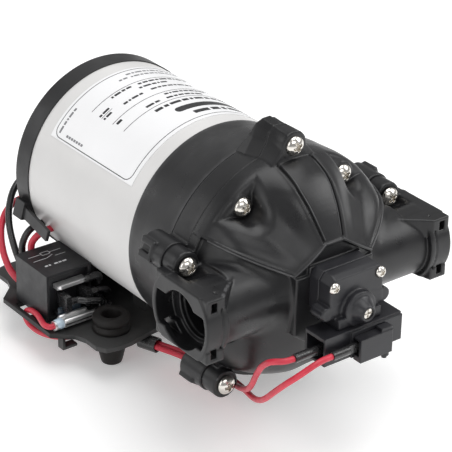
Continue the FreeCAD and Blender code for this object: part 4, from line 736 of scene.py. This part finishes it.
def spread(name, base, spots, material, body, swap, phase):
    P0, F0 = base
    Ps, Fs = [], []
    for i, (x, y, z) in enumerate(spots):
        a = math.radians(phase[i % len(phase)])
        c, s = math.cos(a), math.sin(a)
        Q = P0 @ np.array([[c, 0, s], [0, 1, 0], [-s, 0, c]])
        Ps.append(Q + np.array([x, y, z]))
        Fs.append(F0 + i * len(P0))
    o = mesh_object(name, np.concatenate(Ps), np.concatenate(Fs), material, body)
    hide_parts(swap)
    return o


big = screw_mesh(4.6, 3.3, 0.15)
spread("head_screw_heads", big, [(x, -54.25, z) for (x, z) in outer] + [(x, -54.35, z) for (x, z) in inner],
       M["screw_nickel"], "pump", "head_screws", [20, 55, 8, 71, 34, 62, 15, 48, 80, 27])
small = screw_mesh(2.75, 2.0, 0.11)
spread("cover_screw_heads", small, [(x, -99.65, 14) for x in (12.9, -12.9)], M["screw_nickel"], "pump",
       "cover_screws", [30, 12])

# ---------------------------------------------------------------- pressure switch
switch_side = [(-14.7, -0.4), (14.7, -0.4), (14.7, 14.8), (12.1, 18.5), (-12.1, 18.5), (-14.7, 14.8)]
AXIS_Z = 1.1


def switch_field(X, Y, Z):
    ax = np.abs(X)
    rs = np.sqrt(X * X + (Z - AXIS_Z) ** 2)
    d = smax(poly_field(X, Z, switch_side), np.abs(Y + 92.3) - 7.3, 0.5)
    d = smax(d, ((Z - 17.5) - (Y + 99.6) / 3.0) * 0.949, 0.3)
    # round-ended flange
    tall = 3.3 + 1.6 * np.clip((13.0 - ax) / 7.0, 0, 1)
    pill = np.sqrt(np.maximum(ax - 15.8, 0) ** 2 + (Z - 1.8) ** 2) - tall
    d = smin(d, smax(pill, np.abs(Y + 95.5) - 4.1, 0.6), 0.5)
    # ring and tapered nose
    d = smin(d, smax(rs - 8.4, np.abs(Y + 98.0) - 5.2, 0.9), 0.9)
    nose = np.interp(-Y, [101.0, 103.2, 105.6, 108.3], [7.4, 6.4, 4.9, 3.55]).astype(np.float32)
    d = smin(d, smax(rs - nose, np.abs(Y + 103.2) - 5.1, 0.5), 0.9)
    d = smin(d, box_field(X, Y, Z, (-12, -102.6, -5.9), (12, -93.5, -1.0), 0.5), 0.5)
    hole = smax(rs - 7.2, np.abs(Y + 95.5) - 6.6, 0.2)
    hole = smin(hole, smax(rs - 3.5, np.abs(Y + 103.5) - 3.4, 0.2), 0.1)
    hole = smin(hole, smax(rs - 2.65, np.abs(Y + 105.0) - 5.0, 0.2), 0.1)
    hole = smin(hole, box_field(X, Y, Z, (-3.5, -95.9, -9.0), (3.5, -88.9, 0.0), 0.2), 0.1)
    return smax(d, -hole, 0.2)


def cover_field(X, Y, Z):
    return smax(switch_field(X, Y, Z), Y + 91.55, 0.2)


def base_field(X, Y, Z):
    rs = np.sqrt(X * X + (Z - AXIS_Z) ** 2)
    d = smax(poly_field(X, Z, switch_side), np.abs(Y + 88.25) - 3.2, 0.3)
    hole = smin(smax(rs - 6.9, Y + 89.9, 0.2), rs - 2.2, 0.1)
    for x in (-12.9, 12.9):
        hole = smin(hole, smax(np.sqrt((X - x) ** 2 + (Z - 14.0) ** 2) - 1.35, Y + 85.6, 0.1), 0.1)
    return smax(d, -hole, 0.2)


P, F = surface(cover_field, (-20.5, -109.4, -7), (20.5, -90.8, 19.6), 0.34)
cover = mesh_object("switch_cover_shell", P, F, M["switch_plastic"])
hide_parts("switch_cover")
P, F = surface(base_field, (-16, -92.2, -5), (16, -84.4, 19.6), 0.34)
base = mesh_object("switch_base_shell", P, F, M["switch_plastic"])
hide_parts("switch_base")


# ---------------------------------------------------------------- label print: rules, bars and rows of plain dashes
R0, R1 = 50.205, 50.252
PER_MM = math.degrees(1 / 50.22)


class Print:
    """Closed thin patches on the drum, gathered into one mesh."""

    def __init__(self):
        self.P, self.F = [], []

    def band(self, line, width):
        """A thin line along points of (y, degrees)."""
        q = np.array([(y, math.radians(a) * 50.22) for (y, a) in line])
        t = np.gradient(q, axis=0)
        t /= np.linalg.norm(t, axis=1)[:, None]
        n = np.stack([-t[:, 1], t[:, 0]], 1) * width / 2
        self.ribbon(q + n, q - n)

    def bar(self, y0, y1, a0, a1, corner=0.0):
        steps = max(2, int(abs(a1 - a0) / 1.5))
        ang = np.linspace(a0, a1, steps + 1) if not corner else np.unique(np.concatenate([
            np.linspace(a0, a1, steps + 1), a0 + corner * PER_MM * (1 - np.cos(np.linspace(0, math.pi / 2, 7))),
            a1 - corner * PER_MM * (1 - np.cos(np.linspace(0, math.pi / 2, 7)))]))
        lo, hi = [], []
        for a in ang:
            e = min(abs(a - a0), abs(a1 - a)) / PER_MM
            cut = 0.0
            if corner and e < corner:
                cut = corner - math.sqrt(max(0.0, corner ** 2 - (corner - e) ** 2))
                cut = min(cut, (y1 - y0) / 2 - 0.02)
            lo.append((y0 + cut, math.radians(a) * 50.22))
            hi.append((y1 - cut, math.radians(a) * 50.22))
        self.ribbon(np.array(lo), np.array(hi))

    def ribbon(self, A, B):
        k, n = len(self.P), len(A)
        for a, b in zip(A, B):
            for (y, arc), r in ((a, R1), (b, R1), (b, R0), (a, R0)):
                t = arc / 50.22
                self.P.append((r * math.cos(t), y, r * math.sin(t)))
        for i in range(n - 1):
            for j in range(4):
                m = (j + 1) % 4
                self.F.append((k + 4 * i + j, k + 4 * i + m, k + 4 * (i + 1) + m, k + 4 * (i + 1) + j))
        self.F.append((k, k + 3, k + 2, k + 1))
        e = k + 4 * (n - 1)
        self.F.append((e, e + 1, e + 2, e + 3))

    def words(self, y, a0, a1, h, seed):
        """A row of short dashes from a0 down to a1."""
        sizes = [3.1, 1.7, 4.3, 2.4, 1.2, 3.6, 2.0, 2.8]
        a, i = a0, seed
        while True:
            w = sizes[i % 8] * (h / 1.5)
            b = a - w * PER_MM
            if b < a1:
                break
            self.bar(y - h / 2, y + h / 2, b, a, 0.3)
            a = b - 0.7 * (h / 1.5) * PER_MM
            i += 1

    def build(self, name, material):
        o = mesh_object(name, self.P, self.F, material, "pump", smooth=False)
        bm = bmesh.new()
        bm.from_mesh(o.data)
        bmesh.ops.recalc_face_normals(bm, faces=bm.faces)
        bm.to_mesh(o.data)
        bm.free()
        return o


dark, grey = Print(), Print()
frame_line = [(y, 146.2) for y in np.linspace(69.6, 15.9, 40)]
frame_line += [(15.9 - 4.3 * math.sin(t), 146.2 - 4.3 * PER_MM * (1 - math.cos(t))) for t in np.linspace(0.2, 1.4, 7)]
frame_line += [(11.6, a) for a in np.linspace(146.2 - 4.3 * PER_MM, 22.6, 90)]
dark.band(frame_line, 0.42)
rear_line = [(69.6, 146.2)] + [(69.6 + 4.5 * math.sin(t), 146.2 - 4.5 * PER_MM * (1 - math.cos(t))) for t in np.linspace(0.2, 1.4, 7)]
rear_line += [(74.1, a) for a in np.linspace(146.2 - 4.5 * PER_MM, 22.6, 90)]
dark.band(rear_line, 0.42)
for y in (60.7, 43.6, 34.4):
    dark.band([(y, a) for a in np.linspace(125.0, 48.0, 60)], 0.36)
dark.bar(21.3, 25.9, 50.0, 98.0, 2.2)
dark.bar(15.4, 18.6, 52.0, 60.0, 0.6)
dark.words(17.0, 91.5, 52.0, 3.0, 2)
dark.words(31.0, 105.4, 52.0, 2.1, 0)
dark.words(49.2, 111.6, 97.5, 1.5, 3)
dark.words(49.6, 93.0, 62.0, 1.4, 5)
dark.words(54.4, 96.8, 78.0, 1.5, 1)
dark.words(58.6, 112.2, 97.0, 1.5, 4)
dark.words(58.2, 94.6, 60.0, 1.5, 6)
dark.words(41.4, 123.6, 116.6, 1.7, 7)
dark.words(37.4, 106.2, 97.0, 1.6, 2)
dark.words(37.2, 92.8, 66.0, 1.5, 5)
dark.words(41.2, 91.0, 62.0, 1.4, 3)
dark.words(53.9, 125.2, 117.4, 1.4, 1)
dark.words(50.4, 125.2, 117.8, 1.4, 4)
dark.bar(52.0, 52.3, 117.4, 125.4)
grey.words(70.9, 143.8, 126.6, 1.3, 2)
grey.words(70.4, 93.0, 50.0, 1.3, 0)
grey.words(67.4, 99.8, 93.4, 1.3, 6)
grey.words(66.9, 92.2, 58.0, 1.3, 4)
for k in range(7):
    grey.bar(51.9 + 2.0 * k, 53.4 + 2.0 * k, 142.6, 144.0, 0.2)
dark.build("label_print", label_ink)
grey.build("label_print_grey", grey_ink)


# ---------------------------------------------------------------- relay top print
def plate_bars(name, bars, z0, z1, material):
    """Thin closed bars on a flat top: each is (x0, y0, x1, y1, width)."""
    P, F = [], []
    for (x0, y0, x1, y1, w) in bars:
        L = math.hypot(x1 - x0, y1 - y0)
        nx, ny = -(y1 - y0) / L * w / 2, (x1 - x0) / L * w / 2
        k = len(P)
        for z in (z0, z1):
            P += [(x0 + nx, y0 + ny, z), (x0 - nx, y0 - ny, z), (x1 - nx, y1 - ny, z), (x1 + nx, y1 + ny, z)]
        F += [(k, k + 3, k + 2, k + 1), (k + 4, k + 5, k + 6, k + 7), (k, k + 1, k + 5, k + 4), (k + 1, k + 2, k + 6, k + 5),
              (k + 2, k + 3, k + 7, k + 6), (k + 3, k, k + 4, k + 7)]
    return mesh_object(name, P, F, material, "pump", smooth=False)


rb = [(-62.6, 67.0, -55.4, 67.0, 0.3), (-51.0, 67.0, -44.4, 67.0, 0.3), (-55.4, 68.3, -51.0, 68.3, 0.3),
      (-55.4, 65.7, -51.0, 65.7, 0.3), (-55.4, 68.4, -55.4, 65.6, 0.3), (-51.0, 68.4, -51.0, 65.6, 0.3),
      (-62.6, 62.4, -55.0, 62.4, 0.3), (-50.4, 62.4, -44.4, 62.4, 0.3), (-55.0, 62.4, -50.8, 64.2, 0.3)]
for x0, x1 in ((-60.4, -58.8), (-58.2, -57.2), (-55.2, -53.2), (-52.6, -51.2), (-50.6, -48.4)):
    rb.append((x0, 55.6, x1, 55.6, 1.1))
plate_bars("relay_print", rb, -29.47, -29.42, white_ink)

# ---------------------------------------------------------------- rubber feet
foot_line = [(3.3, 0.25), (3.6, 0.0), (4.3, 0.0), (5.0, 0.5), (5.5, 2.2), (6.5, 6.5), (7.7, 11.4), (8.45, 14.4), (8.55, 15.2),
             (8.3, 15.45), (6.5, 15.5), (6.5, 18.0), (8.8, 18.05), (9.25, 18.5), (9.3, 19.6), (8.95, 20.6), (8.3, 21.1),
             (8.1, 21.7), (8.35, 22.3), (8.95, 22.8), (9.1, 23.8), (9.0, 25.0), (8.5, 26.0), (7.8, 26.38), (5.4, 26.4), (4.75, 26.1),
             (4.45, 25.4), (4.35, 22.0), (4.1, 20.6), (3.3, 19.8)]
P, F = [], []
for sx in (-1, 1):
    for sy in (-1, 1):
        k, n = len(P), len(foot_line)
        for i in range(48):
            a = 2 * math.pi * i / 48
            for (r, z) in foot_line:
                P.append((sx * 44 + r * math.cos(a), sy * 33.55 - YOFF + r * math.sin(a), z - ZOFF))
        for i in range(48):
            j = (i + 1) % 48
            for m in range(n):
                q = (m + 1) % n
                F.append((k + i * n + m, k + j * n + m, k + j * n + q, k + i * n + q))
feet = mesh_object("rubber_feet_turned", P, F, M["foot_rubber"], "pump", angle=38)
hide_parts("rubber_feet")


# ---------------------------------------------------------------- sleeves on the leads beside the relay
def lead_line(pts, n=6):
    """Points along straight runs joined by tangent arcs."""
    p = [np.array(q, float) for q in pts]
    out = [p[0]]
    for i in range(1, len(p) - 1):
        u, w = p[i] - p[i - 1], p[i + 1] - p[i]
        lu, lw = np.linalg.norm(u), np.linalg.norm(w)
        u, w = u / lu, w / lw
        ang = math.acos(max(-1, min(1, float(u @ w))))
        t = 0.45 * min(lu, lw)
        r = t / math.tan(ang / 2)
        a = p[i] - u * t
        side = w - u * float(u @ w)
        side /= np.linalg.norm(side)
        for k in range(n + 1):
            b = ang * k / n
            out.append(a + u * r * math.sin(b) + side * r * (1 - math.cos(b)))
    out.append(p[-1])
    return out


def sleeve(name, pts, radius, lo, hi, material):
    line = lead_line(pts)
    d = [0.0]
    for a, b in zip(line, line[1:]):
        d.append(d[-1] + float(np.linalg.norm(b - a)))
    total = d[-1]
    keep = [q for q, s0 in zip(line, d) if lo * total <= s0 <= hi * total]
    rad = np.full(len(keep), radius)
    rad[0] = rad[-1] = radius * 0.94
    P, F = tube_mesh(keep, rad, 14)
    return mesh_object(name, P, F, material, "pump", angle=50)


sleeve("motor_lead_sleeve", [(-42.6, 77.3, -41.9), (-37.4, 75.0, -43.6), (-35.7, 68.6, -45.0), (-35.8, 61.6, -45.6),
                             (-35.8, 54.4, -45.2), (-36.0, 48.6, -43.0), (-36.3, 45.0, -39.2), (-37.8, 44.5, -36.05),
                             (-42.6, 44.5, -36.05)], 1.98, 0.04, 1.0, M["sleeve_plastic"])
sleeve("loop_lead_sleeve", [(-42.2, 76.7, -52.25), (-36.6, 74.6, -52.2), (-34.7, 68.0, -52.15), (-34.4, 60.6, -52.2),
                            (-34.5, 52.8, -52.1), (-34.3, 45.4, -51.7), (-34.9, 39.6, -51.2), (-38.6, 37.3, -50.95),
                            (-44.4, 37.3, -50.95)], 1.98, 0.04, 1.0, M["sleeve_plastic"])
sleeve("switch_lead_sleeve", [(-55.35, 40.3, -42.95), (-52.4, 40.2, -42.95), (-49.6, 37.4, -43.1), (-45.8, 36.2, -43.8),
                              (-42.0, 36.9, -45.2), (-39.6, 39.4, -47.8), (-38.4, 41.8, -51.4), (-38.2, 42.3, -55.6),
                              (-37.2, 39.8, -58.8)], 1.66, 0.0, 0.8, M["sleeve_plastic"])

# ---------------------------------------------------------------- relay: bright blade, ridged receptacle, clear sleeve
def block_mesh(parts):
    """Closed prisms: each part is an outline in (x, y) with its z span."""
    P, F = [], []
    for outline_xy, z0, z1 in parts:
        k, n = len(P), len(outline_xy)
        P += [(x, y, z0) for (x, y) in outline_xy] + [(x, y, z1) for (x, y) in outline_xy]
        F.append((list(range(k + n - 1, k - 1, -1))))
        F.append(list(range(k + n, k + 2 * n)))
        for i in range(n):
            j = (i + 1) % n
            F.append([k + i, k + j, k + n + j, k + n + i])
    return P, F


def prism_object(name, parts, material):
    P, F = block_mesh(parts)
    me = bpy.data.meshes.new(name)
    me.from_pydata([tuple(W(*q)) for q in P], [], F)
    bm = bmesh.new()
    bm.from_mesh(me)
    bmesh.ops.recalc_face_normals(bm, faces=bm.faces[:])
    bm.to_mesh(me)
    bm.free()
    me.validate()
    me.materials.append(material)
    o = bpy.data.objects.new(name, me)
    bpy.context.scene.collection.objects.link(o)
    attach(o, "pump")
    return o


prism_object("relay_blade_bright", [([(-60.9, 46.4), (-60.9, 44.6), (-59.4, 43.3), (-46.6, 43.3), (-45.1, 44.6), (-45.1, 46.4)],
                                     -36.85, -35.25)], M["tinned_metal"])
boots = [([(x0, 38.0), (x0, 45.3), (x1, 45.3), (x1, 38.0)], -46.95, -38.95) for (x0, x1) in ((-60.0, -57.0), (-48.5, -45.5))]
prism_object("receptacle_boots", boots, M["sleeve_plastic"])
ridge_P, ridge_F, k = [], [], 0
for line in ([(-57.4, 40.3, -42.95), (-57.0, 40.3, -42.95), (-54.6, 40.3, -42.95), (-54.2, 40.3, -42.95)],
             [(-45.9, 40.5, -41.45), (-45.5, 40.5, -41.45), (-42.0, 40.5, -41.45), (-41.6, 40.5, -41.45)],
             [(-45.3, 44.6, -36.05), (-44.9, 44.6, -36.05), (-41.9, 44.6, -36.05), (-41.5, 44.6, -36.05)]):
    P, F = tube_mesh(line, [1.75, 1.95, 1.95, 1.75], 14)
    ridge_P.append(P)
    ridge_F.append(F + k)
    k += len(P)
mesh_object("crimp_boots", np.concatenate(ridge_P), np.concatenate(ridge_F), M["sleeve_plastic"], "pump",
            angle=50)
ridge_P, ridge_F, k = [], [], 0
for y in (35.5, 40.4):
    P, F = tube_mesh([(-63.2, y, -49.35), (-62.6, y, -49.35), (-48.2, y, -49.35), (-47.6, y, -49.35)], [0.7, 1.05, 1.05, 0.7], 12)
    ridge_P.append(P)
    ridge_F.append(F + k)
    k += len(P)
mesh_object("receptacle_ridges", np.concatenate(ridge_P), np.concatenate(ridge_F), M["tinned_metal"], "pump",
            angle=50)
prism_object("receptacle_film", [([(-62.3, 42.0), (-62.3, 42.5), (-49.4, 42.5), (-49.4, 42.0)], -49.9, -45.4)],
             film_sleeve)
P, F = tube_mesh([(-67.3, 37.3, -50.7), (-66.9, 37.3, -50.7), (-63.9, 37.3, -50.7), (-63.5, 37.3, -50.7)], [2.3, 2.55, 2.75, 2.6], 16)
mesh_object("receptacle_clear_end", P, F, clear_sleeve, "pump", angle=50)

# ---------------------------------------------------------------- springs as pieces of their own; the switch spring is cut in two at its middle
def shortening_spring(name, node, cut=None):
    """The node's spring as a piece of its own; cut is a point and a direction, and what lies that way is left off."""
    src = N[node]
    me = src.data.copy()
    me.transform(src.matrix_world)
    bm = bmesh.new()
    bm.from_mesh(me)
    bmesh.ops.remove_doubles(bm, verts=bm.verts[:], dist=1e-7)
    if cut:
        bmesh.ops.bisect_plane(bm, geom=bm.verts[:] + bm.edges[:] + bm.faces[:], plane_co=cut[0], plane_no=cut[1],
                               clear_outer=True)
        bmesh.ops.holes_fill(bm, edges=[e for e in bm.edges if e.is_boundary], sides=0)
        bmesh.ops.triangulate(bm, faces=[f for f in bm.faces if len(f.verts) > 4])
    bm.to_mesh(me)
    bm.free()
    o = bpy.data.objects.new(name, me)
    bpy.context.scene.collection.objects.link(o)
    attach(o, "pump")
    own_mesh(o)
    return o


for side, sx in (("right", 1), ("left", -1)):
    o = shortening_spring("brush_coil_" + side, "brush_spring_" + side)
    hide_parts("brush_spring_" + side)
middle = (0.0, -0.1538, 0.0731)
o = shortening_spring("switch_coil_seat_end", "switch_spring",
                      cut=(middle, (0, 1, 0)))
shortening_spring("switch_coil_plunger_end", "switch_spring",
                  cut=(middle, (0, -1, 0)))
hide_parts("switch_spring")

# ---------------------------------------------------------------- stage, light, camera
def light(name, loc, target, size, size_y, power, color=(1, 1, 1)):
    d = bpy.data.lights.new(name, "AREA")
    d.shape = "RECTANGLE"
    d.size, d.size_y = size, size_y
    d.energy = power
    d.color = color
    o = bpy.data.objects.new(name, d)
    bpy.context.scene.collection.objects.link(o)
    o.location = loc
    o.rotation_mode = "QUATERNION"
    o.rotation_quaternion = (Vector(target) - Vector(loc)).to_track_quat("-Z", "Y")
    return o


floor_mat = surface_mat("studio_floor", (0.93, 0.93, 0.93), 0.7, var=0.01, var_scale=4, grain=50, bump=0.02,
                        round_edge=0.0, spec=0.2)
for n in floor_mat.node_tree.nodes:
    if n.type == "BSDF_PRINCIPLED":
        n.inputs["Emission Color"].default_value = (1, 1, 1, 1)
        n.inputs["Emission Strength"].default_value = 0.26
me = bpy.data.meshes.new("studio_floor")
bm = bmesh.new()
bmesh.ops.create_grid(bm, x_segments=2, y_segments=2, size=4.0)
bm.to_mesh(me)
bm.free()
me.materials.append(floor_mat)
floor = bpy.data.objects.new("studio_floor", me)
bpy.context.scene.collection.objects.link(floor)
floor.location = (0, 0, -0.0002)

world = bpy.data.worlds.new("studio")
bpy.context.scene.world = world
world.use_nodes = True
world.node_tree.nodes["Background"].inputs[0].default_value = (1, 1, 1, 1)
world.node_tree.nodes["Background"].inputs[1].default_value = 0.36

light("key", (0.15, -0.10, 1.3), (0, -0.05, 0.07), 1.2, 0.9, 9.0)
light("left", (-1.2, -0.3, 0.65), (0, 0, 0.07), 0.7, 0.9, 3.4)
light("right", (1.15, -0.70, 0.98), (0, -0.05, 0.07), 0.9, 0.9, 9.0)
light("front", (-0.22, -1.3, 1.0), (0, -0.05, 0.07), 0.9, 0.5, 3.0)
light("rim", (-0.95, 1.1, 0.65), (0, 0, 0.08), 0.8, 0.8, 2.2)
light("back", (0.3, 1.3, 0.9), (0, 0, 0.08), 1.2, 0.6, 0.8)

cam_data = bpy.data.cameras.new("camera")
cam_data.lens = 162.2
cam_data.sensor_width = 36
cam_data.clip_start, cam_data.clip_end = 0.05, 50
cam = bpy.data.objects.new("camera", cam_data)
bpy.context.scene.collection.objects.link(cam)
az, el, roll = math.radians(-37.65), math.radians(27.71), math.radians(0.94)
back = Vector((math.sin(az) * math.cos(el), -math.cos(az) * math.cos(el), math.sin(el)))
right = Vector((math.cos(az), math.sin(az), 0))
up = back.cross(right)
c, s = math.cos(roll), math.sin(roll)
r2, u2 = c * right + s * up, -s * right + c * up
cam.matrix_world = Matrix(((r2.x, u2.x, back.x, -0.5111), (r2.y, u2.y, back.y, -0.72695), (r2.z, u2.z, back.z, 0.5120),
                           (0, 0, 0, 1)))
bpy.context.scene.camera = cam
bpy.context.scene.view_settings.view_transform = "Standard"
